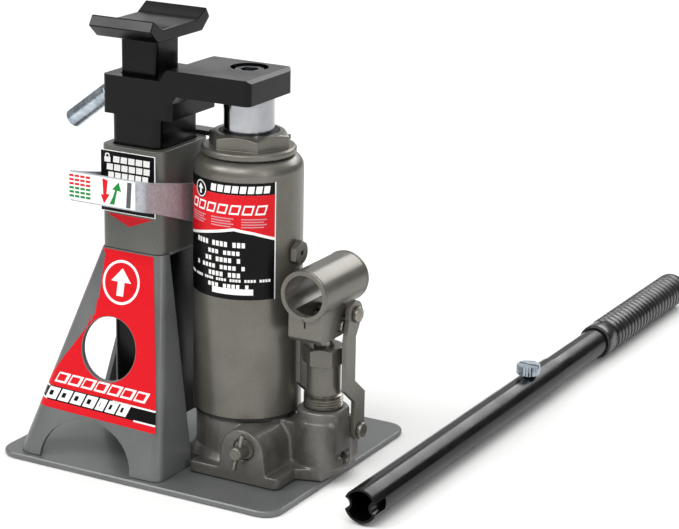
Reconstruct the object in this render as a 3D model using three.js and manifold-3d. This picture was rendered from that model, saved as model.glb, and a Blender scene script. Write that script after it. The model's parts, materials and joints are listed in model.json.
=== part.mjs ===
// A bottle jack and a jack stand on one base plate, with the two-piece pump handle lying beside them.
// Millimetres. X runs along the plate's front edge, Y to the back, Z up. The origin is the centre of
// the plate's underside. Every moving piece is drawn at rest: ram down, post in, lock and pin withdrawn.
import * as THREE from "three";
import { mergeVertices, toCreasedNormals } from "three/addons/utils/BufferGeometryUtils.js";
import Module from "manifold-3d";

const manifold = await Module();
manifold.setup();

// ---- Driving dimensions ----

const GAP = 0.3; // between pieces that are fixed together or meet face to face
const RUN = 0.4; // around posts that slide in one another
const SEAL_GAP = 0.08; // between running and pinned faces

const PLATE_WIDTH = 156;
const PLATE_DEPTH = 134;
const PLATE_THICK = 3;
const PLATE_CORNER = 9;
const SCREWS = [
  [24, -36],
  [58, -36],
  [24, 12],
  [52, 12],
];
const SCREW_R = 2.5;

const POST_X = -16.2; // the column's centre line, left of the jack
const POST_Y = -20;
const OUTER_WIDTH = 27;
const OUTER_DEPTH = 35;
const OUTER_WALL = 3.2;
const OUTER_CORNER = 4;
const OUTER_BOTTOM = 20;
const INNER_SIDE = 20;
const INNER_TOP = 208.4;
const STOP_THICK = 3;
const SHOE_TALL = 14;
const EXTENSION = 147.7; // travel of the inner post
const HOLE_SPACES = 3; // spaces between the height holes over that travel

const GUIDE_WALL = 3.6;
const GUIDE_CORNER = 5.5;
const GUIDE_BOTTOM = 107.3;
const GUIDE_TOP = 157;

const PANEL_THICK = 2.5;
const PANEL_FOOT_OUT = 22.5; // how far the panel's foot stands out beyond the guide tube
const PANEL_LEFT_FLARE = 36; // how far the left edge spreads from top to foot
const PANEL_RIGHT_FLARE = 12.5;
const PANEL_HOLE_R = 15.2;
const PANEL_HOLE_X = -22.3;
const PANEL_HOLE_Z = 60;
const ARCH_WIDE = 52;
const ARCH_TALL = 21.5;
const ARCH_X = -29;

const LIFT = 100; // travel of the ram
const NOTCH_PITCH = 12.5;
const NOTCH_WIDE = 12;
const NOTCH_TALL = 8.2;
const PAWL_WIDE = 10;
const PAWL_TIP_Z = 137.5; // height of the lock's tooth
const LOCK_BACK = 6.5; // from the guide tube to the lock shaft behind it
const LOCK_Z = 121;
const EAR_HALF = 12; // from the column's centre line to an ear's inner face
const EAR_THICK = 3;
const SHAFT_R = 3;
const BAIL_THICK = 2;
const BAIL_TALL = 14.5;
const BAIL_REAR_TALL = 19;
const BAIL_REACH = 20.5; // from the guide tube to the front of the bail
const BAIL_SLOPE = 16; // degrees the bail's front stands up at rest

const RAM_X = 30.5;
const RAM_Y = -11.5;
const PISTON_STEP = 1.9; // how far the piston stands out from the ram
const PISTON_TALL = 10;
const PISTON_BOTTOM = 26;
const CYLINDER_R = 14; // inside
const CYLINDER_WALL = 3;
const SEAT_Z = 24; // floor of the cylinder's seat in the casting
const TANK_R = 26; // outside
const TANK_WALL = 2;
const TANK_BOTTOM = 32;
const TANK_SHOULDER = 149.2;
const TANK_TOP = 155.6;
const CAP_RING_R = 22.5;
const CAP_RING_TALL = 3.6;
const CAP_HEX = 34.5; // across flats
const CAP_TOP = 166.4;
const SKIRT_BOTTOM = 143;
const FILLER_R = 3.6;
const FILLER_Z = 111;

const COLLAR_FRONT_WALL = 2.1;
const COLLAR_REAR_WALL = 2.5;
const COLLAR_LEFT_WALL = 3;
const COLLAR_RIGHT_WALL = 8.2;
const ARM_RIGHT = 47.2;
const ARM_BOTTOM = 184;
const ARM_TOP = 196;
const NECK_INSET = 18.5; // the neck behind the collar is this much narrower than the arm
const COLLAR_BOTTOM = 172;
const COLLAR_TOP = 190.3;
const COLLAR_ROOF = 4.3;
const BOLT_HEAD_R = 7.5;
const BOLT_HEAD_TALL = 6.5;
const BOLT_R = 5;
const BOLT_LONG = 36;

const SADDLE_LONG = 34;
const SADDLE_HALF = 25.2; // from the middle to the lip's outer edge
const SADDLE_FLOOR_HALF = 14.6;
const SADDLE_FLOOR_Z = 214.6;
const SADDLE_TOP = 219;

const PIN_R = 4.5;
const PIN_Z = 179; // height of the pin's line in the collar
const PIN_DEEP = 4; // how far the pin goes in
const PIN_LEG = 29;
const PIN_BEND = 37; // degrees the leg hangs below level

const FLANGE_TALL = 5.8;
const BODY_R = 24.5;
const SPIGOT_TALL = 6;
const VALVE_X = 47.5;
const VALVE_Z = 20.5;
const VALVE_R = 5;
const BOSS_FRONT = -43;
const BOSS_HALF = 11.8;

const PUMP_X = 71.5;
const PUMP_Y = -9.5;
const HOUSING_R = 12.5;
const HOUSING_TOP = 37;
const BARREL_R = 8.3;
const BARREL_HEX = 18;
const BARREL_SHOULDER = 59;
const BARREL_TOP = 67.5;
const PLUNGER_R = 5;
const PUMP_PIN_R = 2.5;
const PUMP_PIN_Z = 78.2;
const PUMP_PIN_SLACK = 0.75; // the eye is drilled this much wider than its pin, all round
const LINK_PIN_Y = -3.8;
const LINK_PIN_Z = 83.2;
const LINK_FOOT_Y = 2;
const LINK_FOOT_Z = 23.5;
const LINK_THICK = 2.4;
const LINK_WIDE = 9.6;
const LINK_INSIDE = 11.2; // from the pump's centre line to the link's inner face

const SOCKET_R = 12.1;
const SOCKET_BORE = 10;
const SOCKET_Z = 96.4;
const SOCKET_FRONT = -30;
const SOCKET_REAR = 11;
const CHEEK_INSIDE = 6.2;
const CHEEK_THICK = 2.4;
const CHEEK_BOTTOM = 73.5;

const HANDLE_X = 114.7;
const LOWER_R = 8.4;
const LOWER_WALL = 1.2;
const LOWER_START = -51;
const LOWER_END = 160;
const UPPER_R = 7.8;
const UPPER_WALL = 1.6;
const SPIGOT_LONG = 70;
const GRIP_R = 9.7;
const GRIP_START = 220;
const GRIP_END = 340;
const GRIP_RIBS = 14;
const CRIMP_LONG = 11;
const THUMB_Y = 131;
const THUMB_R = 6.2;
const THUMB_TALL = 5;
const THUMB_SHANK_R = 2.4;

// ---- Sizes that follow ----

const FLOOR = PLATE_THICK + GAP; // what stands on the plate starts here
const OUTER = rectangle(POST_X, POST_Y, OUTER_WIDTH, OUTER_DEPTH);
const GUIDE = grown(OUTER, RUN + GUIDE_WALL);
const BORE = grown(OUTER, -OUTER_WALL);
const INNER_Y = BORE.y0 + GAP + INNER_SIDE / 2; // the inner post runs against the front wall
const INNER = rectangle(POST_X, INNER_Y, INNER_SIDE, INNER_SIDE);
const INNER_BOTTOM = OUTER_BOTTOM + STOP_THICK + GAP;
const RAM_R = CYLINDER_R - 0.1 - PISTON_STEP;
const PISTON_R = RAM_R + PISTON_STEP;
const ARM_FRONT = OUTER.y0 - COLLAR_FRONT_WALL;
const ARM_REAR = OUTER.y1 + COLLAR_REAR_WALL;
const NECK_REAR = ARM_REAR - NECK_INSET;
const COLLAR_LEFT = OUTER.x0 - COLLAR_LEFT_WALL;
const COLLAR_RIGHT = OUTER.x1 + COLLAR_RIGHT_WALL;
const LOCK_Y = GUIDE.y1 + LOCK_BACK;
const BAIL_FRONT_Y = GUIDE.y0 - BAIL_REACH;
const PIN_TIP = INNER.x0 - GAP;
const PIN_BEND_X = COLLAR_LEFT - PIN_DEEP - 1.4; // leaves the bend just outside the collar when in
const NOTCH_Z = PAWL_TIP_Z - 1.5; // the tooth drops as it swings in
const WINDOW_HALF = PAWL_WIDE / 2 + 1;
const BAIL_LEFT = GUIDE.x0 - 4.3;
const BAIL_RIGHT = GUIDE.x1 + 0.6 + BAIL_THICK;
const LEFT_GROOVE = BAIL_LEFT - 1.6;
const RIGHT_GROOVE = BAIL_RIGHT + 0.4;
const LOWER_BORE = LOWER_R - LOWER_WALL;
const SPIGOT_R = LOWER_BORE - 0.2;
const HANDLE_Z = GRIP_R; // the grip lies on the floor

// ---- Solids ----

function rectangle(x, y, width, depth) {
  return { x0: x - width / 2, x1: x + width / 2, y0: y - depth / 2, y1: y + depth / 2 };
}

// A closed surface as a solid.
function solid(geometry) {
  const bare = new THREE.BufferGeometry();
  bare.setAttribute("position", geometry.getAttribute("position"));
  if (geometry.index) bare.setIndex(geometry.index);
  const merged = mergeVertices(bare, 1e-4);
  return new manifold.Manifold(
    new manifold.Mesh({
      numProp: 3,
      vertProperties: merged.getAttribute("position").array,
      triVerts: new Uint32Array(merged.index.array),
    }),
  );
}

function box(x0, x1, y0, y1, z0, z1) {
  const geometry = new THREE.BoxGeometry(x1 - x0, y1 - y0, z1 - z0);
  geometry.translate((x0 + x1) / 2, (y0 + y1) / 2, (z0 + z1) / 2);
  return solid(geometry);
}

// Turns a solid made along Z so that it lies along X or Y. Along X its plane is (y, z), along Y (x, z).
const TURNS = {
  x: new THREE.Matrix4().makeBasis(
    new THREE.Vector3(0, 1, 0),
    new THREE.Vector3(0, 0, 1),
    new THREE.Vector3(1, 0, 0),
  ),
  y: new THREE.Matrix4().makeBasis(
    new THREE.Vector3(1, 0, 0),
    new THREE.Vector3(0, 0, 1),
    new THREE.Vector3(0, -1, 0),
  ),
  z: new THREE.Matrix4(),
};

// An outline carried from one place to another along an axis.
function prism(axis, outline, from, to) {
  const shape = new THREE.Shape(outline.map(([a, b]) => new THREE.Vector2(a, b)));
  const geometry = new THREE.ExtrudeGeometry(shape, { depth: to - from, bevelEnabled: false });
  geometry.translate(0, 0, axis === "y" ? -to : from);
  return solid(geometry.applyMatrix4(TURNS[axis]));
}

// A closed profile of [radius, place] pairs turned about an axis through the origin.
function turned(axis, profile, sides = 32) {
  const points = profile.map(([r, z]) => new THREE.Vector2(Math.max(r, 0), z));
  points.push(points[0].clone());
  const geometry = new THREE.LatheGeometry(points, sides);
  if (axis === "z") geometry.rotateX(Math.PI / 2);
  if (axis === "x") geometry.rotateZ(-Math.PI / 2);
  const made = solid(geometry);
  return made.volume() > 0 ? made : flipped(geometry);
}

function flipped(geometry) {
  const index = geometry.index.array;
  for (let i = 0; i < index.length; i += 3) {
    [index[i + 1], index[i + 2]] = [index[i + 2], index[i + 1]];
  }
  return solid(geometry);
}

function rod(axis, radius, from, to, sides = 24) {
  return turned(
    axis,
    [
      [0, from],
      [radius, from],
      [radius, to],
      [0, to],
    ],
    sides,
  );
}

function ring(axis, inner, outer, from, to, sides = 32) {
  return turned(
    axis,
    [
      [inner, from],
      [outer, from],
      [outer, to],
      [inner, to],
    ],
    sides,
  );
}

// A rod with both ends chamfered.
function chamferedRod(axis, radius, from, to, chamfer, sides = 20) {
  return turned(
    axis,
    [
      [0, from],
      [radius - chamfer, from],
      [radius, from + chamfer],
      [radius, to - chamfer],
      [radius - chamfer, to],
      [0, to],
    ],
    sides,
  );
}

function sphere(radius, place) {
  return solid(new THREE.SphereGeometry(radius, 12, 8)).translate(place);
}

function union(...solids) {
  return manifold.Manifold.union(solids);
}

function cut(body, ...tools) {
  return manifold.Manifold.difference([body, ...tools]);
}

function common(...solids) {
  return manifold.Manifold.intersection(solids);
}

// ---- Outlines ----

function arc(x, y, radius, from, to, steps) {
  const points = [];
  for (let i = 0; i <= steps; i += 1) {
    const angle = THREE.MathUtils.degToRad(from + ((to - from) * i) / steps);
    points.push([x + radius * Math.cos(angle), y + radius * Math.sin(angle)]);
  }
  return points;
}

function roundedOutline({ x0, x1, y0, y1 }, radius, steps = 4) {
  return [
    ...arc(x1 - radius, y0 + radius, radius, -90, 0, steps),
    ...arc(x1 - radius, y1 - radius, radius, 0, 90, steps),
    ...arc(x0 + radius, y1 - radius, radius, 90, 180, steps),
    ...arc(x0 + radius, y0 + radius, radius, 180, 270, steps),
  ];
}

function grown({ x0, x1, y0, y1 }, by) {
  return { x0: x0 - by, x1: x1 + by, y0: y0 - by, y1: y1 + by };
}

function hexagon(x, y, flats, turn = 0) {
  return arc(x, y, flats / Math.sqrt(3), turn, turn + 300, 5);
}

function block(outline, radius, z0, z1) {
  return prism("z", roundedOutline(outline, radius), z0, z1);
}

// A stack of outlines with the same number of points, one above the other.
function loft(sections) {
  const count = sections[0].outline.length;
  const positions = sections.flatMap(({ z, outline }) => outline.flatMap(([x, y]) => [x, y, z]));
  const index = [];
  for (let level = 0; level + 1 < sections.length; level += 1) {
    for (let i = 0; i < count; i += 1) {
      const a = level * count + i;
      const b = level * count + ((i + 1) % count);
      index.push(a, b, b + count, a, b + count, a + count);
    }
  }
  const foot = sections[0].outline.map(([x, y]) => new THREE.Vector2(x, y));
  const faces = THREE.ShapeUtils.triangulateShape(foot, []);
  const top = (sections.length - 1) * count;
  for (const [a, b, c] of faces) {
    index.push(c, b, a, top + a, top + b, top + c);
  }
  const geometry = new THREE.BufferGeometry();
  geometry.setAttribute("position", new THREE.Float32BufferAttribute(positions, 3));
  geometry.setIndex(index);
  const made = solid(geometry);
  return made.volume() > 0 ? made : flipped(geometry);
}

// ---- Base and tower ----

function basePlate() {
  const outline = rectangle(0, 0, PLATE_WIDTH, PLATE_DEPTH);
  const rim = 0.6;
  const plate = loft([
    { z: 0, outline: roundedOutline(grown(outline, -rim), PLATE_CORNER - rim) },
    { z: rim, outline: roundedOutline(outline, PLATE_CORNER) },
    { z: PLATE_THICK - rim, outline: roundedOutline(outline, PLATE_CORNER) },
    { z: PLATE_THICK, outline: roundedOutline(grown(outline, -rim), PLATE_CORNER - rim) },
  ]);
  return cut(plate, ...SCREWS.map(([x, y]) => screwHole(x, y)));
}

function screwHole(x, y) {
  return turned("z", [
    [0, -1],
    [6.3, -1],
    [6.3, 0],
    [SCREW_R + GAP, 3.6],
    [SCREW_R + GAP, 5],
    [0, 5],
  ]).translate([x, y, 0]);
}

function baseScrew(x, y) {
  const screw = turned("z", [
    [0, 0.4],
    [5.5, 0.4],
    [SCREW_R, 3.2],
    [SCREW_R, FLOOR + FLANGE_TALL - 1],
    [0, FLOOR + FLANGE_TALL - 1],
  ]);
  const recess = union(box(-0.5, 0.5, -2.4, 2.4, 0, 1.6), box(-2.4, 2.4, -0.5, 0.5, 0, 1.6));
  return cut(screw, recess).translate([x, y, 0]);
}

// The tower panel's plan at one height: a front face between two folds, with a flange running back
// from each. height is 0 at the foot and 1 at the top.
function panelOutline(height, hasRightFlange) {
  const front = GUIDE.y0 - PANEL_FOOT_OUT * (1 - height);
  const left = GUIDE.x0 - PANEL_LEFT_FLARE * (1 - height);
  const right = hasRightFlange ? GUIDE.x1 + PANEL_RIGHT_FLARE * (1 - height) : GUIDE.x1;
  const leftFold = 4.5 + 4 * (1 - height);
  const rightFold = hasRightFlange ? 5 : 2.6;
  const leftDeep = front + leftFold + 2 + 5 * (1 - height);
  const flangeEnd = Math.min(front + rightFold + 3 + 26 * (1 - height), -34.6);
  const rightDeep = hasRightFlange ? flangeEnd : front + rightFold + 0.2;
  const inside = leftFold - PANEL_THICK;
  const rightInside = rightFold - PANEL_THICK;
  return [
    [left - 1.2 * (1 - height), leftDeep],
    ...arc(left + leftFold, front + leftFold, leftFold, 180, 270, 5),
    ...arc(right - rightFold, front + rightFold, rightFold, 270, 360, 5),
    [right, rightDeep],
    [right - PANEL_THICK, rightDeep],
    ...arc(right - rightFold, front + rightFold, Math.max(rightInside, 0.05), 360, 270, 5),
    ...arc(left + leftFold, front + leftFold, inside, 270, 180, 5),
    [left - 1.2 * (1 - height) + PANEL_THICK, leftDeep],
  ];
}

function panelBlank(hasRightFlange) {
  const levels = [0, 0.2, 0.4, 0.6, 0.8, 0.92, 1];
  const top = GUIDE_BOTTOM - GAP;
  return loft(
    levels.map((height) => ({
      z: FLOOR + (top - FLOOR) * height,
      outline: panelOutline(height, hasRightFlange),
    })),
  );
}

function archOutline() {
  const round = arc(ARCH_X, 0, 1, 0, 180, 18);
  const curve = round.map(([x, z]) => [ARCH_X + (x - ARCH_X) * (ARCH_WIDE / 2), FLOOR + z * ARCH_TALL]);
  return [[ARCH_X + ARCH_WIDE / 2, 0], ...curve, [ARCH_X - ARCH_WIDE / 2, 0]];
}

function towerFrontPanel() {
  const hole = rod("y", PANEL_HOLE_R, -90, -38, 40).translate([PANEL_HOLE_X, 0, PANEL_HOLE_Z]);
  return cut(panelBlank(true), hole, prism("y", archOutline(), -90, -38));
}

function towerRearPanel() {
  const mirrored = panelBlank(false).mirror([0, 1, 0]).translate([0, 2 * POST_Y, 0]);
  return cut(mirrored, prism("y", archOutline(), 0, 60));
}

function guideTube() {
  const outside = block(GUIDE, GUIDE_CORNER, GUIDE_BOTTOM, GUIDE_TOP);
  const inside = block(grown(OUTER, RUN), OUTER_CORNER, GUIDE_BOTTOM - 1, GUIDE_TOP + 1);
  const window = box(
    POST_X - WINDOW_HALF,
    POST_X + WINDOW_HALF,
    OUTER.y1 - 1,
    GUIDE.y1 + 2,
    PAWL_TIP_Z - 9,
    PAWL_TIP_Z + 6,
  );
  return cut(outside, inside, window);
}

// ---- Lock ----

function atLock(made) {
  return made.translate([0, LOCK_Y, LOCK_Z]);
}

function lockEar(x0) {
  const rear = GUIDE.y1 + GAP;
  const outline = [
    [rear, LOCK_Z - 7],
    [LOCK_Y, LOCK_Z - 7],
    ...arc(LOCK_Y, LOCK_Z, 7, -90, 90, 12),
    [rear, LOCK_Z + 7],
  ];
  const hole = atLock(rod("x", SHAFT_R + GAP, x0 - 1, x0 + EAR_THICK + 1, 24));
  return cut(prism("x", outline, x0, x0 + EAR_THICK), hole);
}

function bailPlan() {
  const outside = { x0: BAIL_LEFT, x1: BAIL_RIGHT, y0: BAIL_FRONT_Y, y1: LOCK_Y + 8 };
  const inside = { ...grown(outside, -BAIL_THICK), y1: 40 };
  const low = LOCK_Z - 30;
  const high = LOCK_Z + 50;
  const behind = box(-60, 30, LOCK_Y + 7, 45, low, high);
  return cut(block(outside, 5, low, high), block(inside, 3, low - 1, high + 1), behind);
}

// The bail seen from the side: a band that rises to the front, with a round end at the shaft.
function bailSide() {
  const slope = Math.tan(THREE.MathUtils.degToRad(BAIL_SLOPE));
  const at = (y) => LOCK_Z + (LOCK_Y - y) * slope;
  const reach = LOCK_Y - 24;
  return [
    ...arc(LOCK_Y, LOCK_Z, 7, -106, 74, 14),
    [reach, at(reach) + BAIL_REAR_TALL / 2],
    [BAIL_FRONT_Y + 12, at(BAIL_FRONT_Y + 12) + BAIL_TALL / 2],
    [BAIL_FRONT_Y - 1, at(BAIL_FRONT_Y - 1) + BAIL_TALL / 2],
    [BAIL_FRONT_Y - 1, at(BAIL_FRONT_Y - 1) - BAIL_TALL / 2],
    [BAIL_FRONT_Y + 12, at(BAIL_FRONT_Y + 12) - BAIL_TALL / 2],
    [reach, at(reach) - BAIL_REAR_TALL / 2],
  ];
}

function lockBail() {
  const hole = atLock(rod("x", SHAFT_R + SEAL_GAP, BAIL_LEFT - 1, BAIL_RIGHT + 1, 24));
  return cut(common(bailPlan(), prism("x", bailSide(), BAIL_LEFT - 1, BAIL_RIGHT + 1)), hole);
}

function lockShaft() {
  const shaft = chamferedRod("x", SHAFT_R, BAIL_LEFT - 3.5, BAIL_RIGHT + 3.5, 0.6, 24);
  const grooves = [LEFT_GROOVE, RIGHT_GROOVE].map((x) =>
    ring("x", SHAFT_R - 0.7, SHAFT_R + 1, x, x + 1.2, 24),
  );
  return atLock(cut(shaft, ...grooves));
}

function shaftClip(x) {
  const clip = ring("x", SHAFT_R - 0.6, SHAFT_R + 2, x + 0.15, x + 1.05, 24);
  const mouth = box(x - 1, x + 2, -SHAFT_R + 0.8, SHAFT_R - 0.8, -SHAFT_R - 3, 0);
  return atLock(cut(clip, mouth));
}

// The tooth stands up from the shaft and leans forward to just behind the outer post.
function lockPawl() {
  const tip = OUTER.y1 + 0.5;
  const outline = [
    ...arc(LOCK_Y, LOCK_Z, SHAFT_R + 2.6, -180, 0, 12),
    [LOCK_Y + 5.6, PAWL_TIP_Z - 5],
    [LOCK_Y - 1, PAWL_TIP_Z + 2.4],
    [tip, PAWL_TIP_Z + 2.4],
    [tip, PAWL_TIP_Z - 2.4],
    [LOCK_Y - 3.4, PAWL_TIP_Z - 4],
    [LOCK_Y - 3.4, LOCK_Z + 4.4],
  ];
  const hole = atLock(rod("x", SHAFT_R + SEAL_GAP, -60, 30, 24));
  return cut(prism("x", outline, POST_X - PAWL_WIDE / 2, POST_X + PAWL_WIDE / 2), hole);
}

// ---- Column ----

function outerPost() {
  const top = COLLAR_TOP - COLLAR_ROOF - GAP;
  const outside = block(OUTER, OUTER_CORNER, OUTER_BOTTOM, top);
  const inside = block(BORE, 1, OUTER_BOTTOM - 1, top + 1);
  const notches = [];
  const half = NOTCH_WIDE / 2;
  const notch = box(POST_X - half, POST_X + half, BORE.y1 - 1, OUTER.y1 + 1, -NOTCH_TALL / 2, NOTCH_TALL / 2);
  for (let i = 0; i * NOTCH_PITCH <= LIFT; i += 1) {
    notches.push(notch.translate([0, 0, NOTCH_Z - i * NOTCH_PITCH]));
  }
  const pinHole = rod("x", PIN_R + GAP, OUTER.x0 - 1, BORE.x0 + 1, 24).translate([0, INNER_Y, PIN_Z]);
  return cut(outside, inside, ...notches, pinHole);
}

function postEndStop() {
  return block(grown(BORE, -GAP), 1, OUTER_BOTTOM, OUTER_BOTTOM + STOP_THICK);
}

function innerPost() {
  const post = block(INNER, 2, INNER_BOTTOM, INNER_TOP);
  const holes = [];
  for (let i = 0; i <= HOLE_SPACES; i += 1) {
    const z = PIN_Z - (EXTENSION * i) / HOLE_SPACES;
    holes.push(rod("x", PIN_R + GAP, INNER.x0 - 1, INNER.x0 + PIN_DEEP + 1, 24).translate([0, INNER_Y, z]));
  }
  return cut(post, ...holes);
}

// Fills the outer post behind the inner post's foot, so that the post can't tip or pull out.
function postShoe() {
  const outline = { ...grown(BORE, -RUN), y0: INNER.y1 + GAP };
  return block(outline, 1, INNER_BOTTOM, INNER_BOTTOM + SHOE_TALL);
}

function saddle() {
  const low = INNER_TOP + GAP;
  const tip = SADDLE_FLOOR_Z - 0.2;
  const half = [
    [SADDLE_HALF - 6.4, low],
    [SADDLE_HALF, tip],
    [SADDLE_HALF - 2.8, SADDLE_TOP],
    [SADDLE_HALF - 3.3, SADDLE_TOP],
    [SADDLE_FLOOR_HALF, SADDLE_FLOOR_Z],
  ];
  const other = half.map(([y, z]) => [-y, z]).reverse();
  const outline = [...half, ...other].map(([y, z]) => [y + INNER_Y, z]);
  return prism("x", outline, POST_X - SADDLE_LONG / 2, POST_X + SADDLE_LONG / 2);
}

function heightPin() {
  const shank = chamferedRod("x", PIN_R, PIN_BEND_X, PIN_TIP, 0.8, 24);
  const knuckle = sphere(PIN_R, [PIN_BEND_X, 0, 0]);
  const leg = chamferedRod("x", PIN_R, -PIN_LEG, 0, 1.2, 24).rotate([0, -PIN_BEND, 0]);
  return union(shank, knuckle, leg.translate([PIN_BEND_X, 0, 0])).translate([0, INNER_Y, PIN_Z]);
}

// The casting that carries the column on the ram: a collar round the post and an arm over the ram.
function liftArm() {
  const around = { x0: COLLAR_LEFT, x1: COLLAR_RIGHT, y0: ARM_FRONT, y1: ARM_REAR };
  const collar = block(around, 2.5, COLLAR_BOTTOM, COLLAR_TOP);
  const side = [
    [COLLAR_RIGHT - 7, COLLAR_TOP - 2],
    [COLLAR_RIGHT - 4.5, ARM_TOP - 2.4],
    [COLLAR_RIGHT - 2, ARM_TOP],
    [ARM_RIGHT - 1.6, ARM_TOP],
    [ARM_RIGHT, ARM_TOP - 1.6],
    [ARM_RIGHT, ARM_BOTTOM],
    [COLLAR_RIGHT + 3, ARM_BOTTOM],
    [COLLAR_RIGHT, ARM_BOTTOM - 4],
    [COLLAR_RIGHT - 7, ARM_BOTTOM - 4],
  ];
  const plan = [
    [-20, ARM_FRONT],
    ...arc(ARM_RIGHT - 3, ARM_FRONT + 3, 3, -90, 0, 4),
    ...arc(ARM_RIGHT - 3, ARM_REAR - 3, 3, 0, 90, 4),
    [COLLAR_RIGHT - 1.5, ARM_REAR],
    [COLLAR_RIGHT - 3, NECK_REAR + 4],
    [COLLAR_RIGHT - 8, NECK_REAR],
    [-20, NECK_REAR],
  ];
  const slab = prism("y", side, ARM_FRONT - 1, ARM_REAR + 1);
  const arm = common(slab, prism("z", plan, COLLAR_BOTTOM, ARM_TOP + 1));
  const postBore = block(grown(OUTER, GAP), OUTER_CORNER, COLLAR_BOTTOM - 1, COLLAR_TOP - COLLAR_ROOF);
  const roofHole = block(grown(INNER, RUN), 2, COLLAR_BOTTOM, ARM_TOP + 1);
  const pinHole = rod("x", PIN_R + GAP, COLLAR_LEFT - 1, OUTER.x0 + 1, 24).translate([0, INNER_Y, PIN_Z]);
  const boltHole = union(
    rod("z", BOLT_R + GAP, COLLAR_BOTTOM, ARM_TOP),
    rod("z", BOLT_HEAD_R + 1.5, ARM_TOP - BOLT_HEAD_TALL - 1.2, ARM_TOP + 2),
  ).translate([RAM_X, RAM_Y, 0]);
  return cut(union(collar, arm), postBore, roofHole, pinHole, boltHole);
}

function ramBolt() {
  const seat = ARM_TOP - BOLT_HEAD_TALL - 1.2 + GAP;
  const top = seat + BOLT_HEAD_TALL;
  const bolt = turned("z", [
    [0, seat - BOLT_LONG],
    [BOLT_R, seat - BOLT_LONG],
    [BOLT_R, seat],
    [BOLT_HEAD_R, seat],
    [BOLT_HEAD_R, top - 0.8],
    [BOLT_HEAD_R - 0.8, top],
    [0, top],
  ]);
  return cut(bolt, prism("z", hexagon(0, 0, 8, 20), top - 4, top + 1)).translate([RAM_X, RAM_Y, 0]);
}

// ---- Hydraulics ----

function atRam(made) {
  return made.translate([RAM_X, RAM_Y, 0]);
}

function ram() {
  const top = ARM_BOTTOM - GAP;
  const piston = PISTON_BOTTOM + PISTON_TALL;
  const body = turned("z", [
    [0, PISTON_BOTTOM],
    [PISTON_R - 0.8, PISTON_BOTTOM],
    [PISTON_R, PISTON_BOTTOM + 0.8],
    [PISTON_R, PISTON_BOTTOM + 3],
    [PISTON_R - 2.5, PISTON_BOTTOM + 3],
    [PISTON_R - 2.5, PISTON_BOTTOM + 7],
    [PISTON_R, PISTON_BOTTOM + 7],
    [PISTON_R, piston],
    [RAM_R, piston],
    [RAM_R, top - 0.6],
    [RAM_R - 0.6, top],
    [0, top],
  ]);
  const thread = rod("z", BOLT_R + GAP, ARM_TOP - BOLT_HEAD_TALL - BOLT_LONG - 4, top + 1);
  return atRam(cut(body, thread));
}

function pistonSeal() {
  const outer = CYLINDER_R - SEAL_GAP / 2;
  return atRam(ring("z", PISTON_R - 2.4, outer, PISTON_BOTTOM + 3.2, PISTON_BOTTOM + 6.8));
}

function cylinderTube() {
  return atRam(ring("z", CYLINDER_R, CYLINDER_R + CYLINDER_WALL, SEAT_Z + GAP, TANK_TOP - 5.5));
}

function capNut() {
  const low = TANK_TOP + GAP;
  const ringTop = low + CAP_RING_TALL;
  const skirtIn = CYLINDER_R + CYLINDER_WALL + GAP;
  const body = turned("z", [
    [RAM_R + SEAL_GAP, TANK_TOP - 5],
    [skirtIn, TANK_TOP - 5],
    [skirtIn, SKIRT_BOTTOM],
    [skirtIn + 1.4, SKIRT_BOTTOM],
    [skirtIn + 1.4, low],
    [CAP_RING_R - 0.6, low],
    [CAP_RING_R, low + 0.6],
    [CAP_RING_R, ringTop - 1],
    [CAP_RING_R - 1, ringTop],
    [CAP_RING_R - 1.5, CAP_TOP - 2.6],
    [CAP_HEX / 2 - 1.2, CAP_TOP],
    [RAM_R + 2.4, CAP_TOP],
    [RAM_R + 2.4, CAP_TOP - 3.4],
    [RAM_R + SEAL_GAP, CAP_TOP - 3.4],
  ]);
  const hex = prism("z", hexagon(0, 0, CAP_HEX, 12), ringTop - 1, CAP_TOP + 1);
  return atRam(common(body, union(rod("z", CAP_RING_R + 1, SKIRT_BOTTOM - 1, ringTop), hex)));
}

function ramWiper() {
  return atRam(ring("z", RAM_R + SEAL_GAP, RAM_R + 2.2, CAP_TOP - 3.2, CAP_TOP - 0.3));
}

function reservoirTube() {
  const inner = TANK_R - TANK_WALL;
  const neck = CYLINDER_R + CYLINDER_WALL + 1.4 + 2 * GAP;
  const crown = TANK_TOP - TANK_SHOULDER;
  const outside = arc(TANK_R - crown, TANK_SHOULDER, crown, 0, 90, 5);
  const inside = arc(TANK_R - crown, TANK_SHOULDER, crown - TANK_WALL, 90, 0, 3);
  const profile = [
    [inner, TANK_BOTTOM],
    [TANK_R, TANK_BOTTOM],
    ...outside,
    [neck, TANK_TOP],
    [neck, TANK_TOP - TANK_WALL],
    ...inside,
  ];
  const fillHole = rod("x", FILLER_R + GAP, 10, 30, 16).translate([0, 0, FILLER_Z]);
  return atRam(cut(turned("z", profile, 40), fillHole));
}

function reservoirSeal() {
  return atRam(ring("z", TANK_R - TANK_WALL, TANK_R - 0.3, TANK_BOTTOM - 1.5, TANK_BOTTOM - 0.2));
}

function fillerPlug() {
  const face = TANK_R + GAP;
  const head = common(
    prism("x", hexagon(0, 0, 10.6, 30), face, face + 3.2),
    turned("x", [
      [0, face],
      [6.4, face],
      [6.4, face + 2.4],
      [5.2, face + 3.2],
      [0, face + 3.2],
    ]),
  );
  const shank = rod("x", FILLER_R, TANK_R - 5, face + 0.5, 20);
  const socket = rod("x", 1.3, face + 1.2, face + 4, 16);
  return atRam(cut(union(head, shank), socket).translate([0, 0, FILLER_Z]));
}

// The casting's plan at the plate, kept clear of the tower's right flange.
function flangeOutline() {
  return [
    [18, -43],
    ...arc(63, -40, 3, -90, 0, 4),
    [66, -26],
    [78, -22],
    [80.5, -8],
    [80.5, 8],
    [66, 16],
    [60, 19],
    [8, 19],
    [5, 16],
    [5, -30],
    [8, -33],
    [18, -33],
  ];
}

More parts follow.
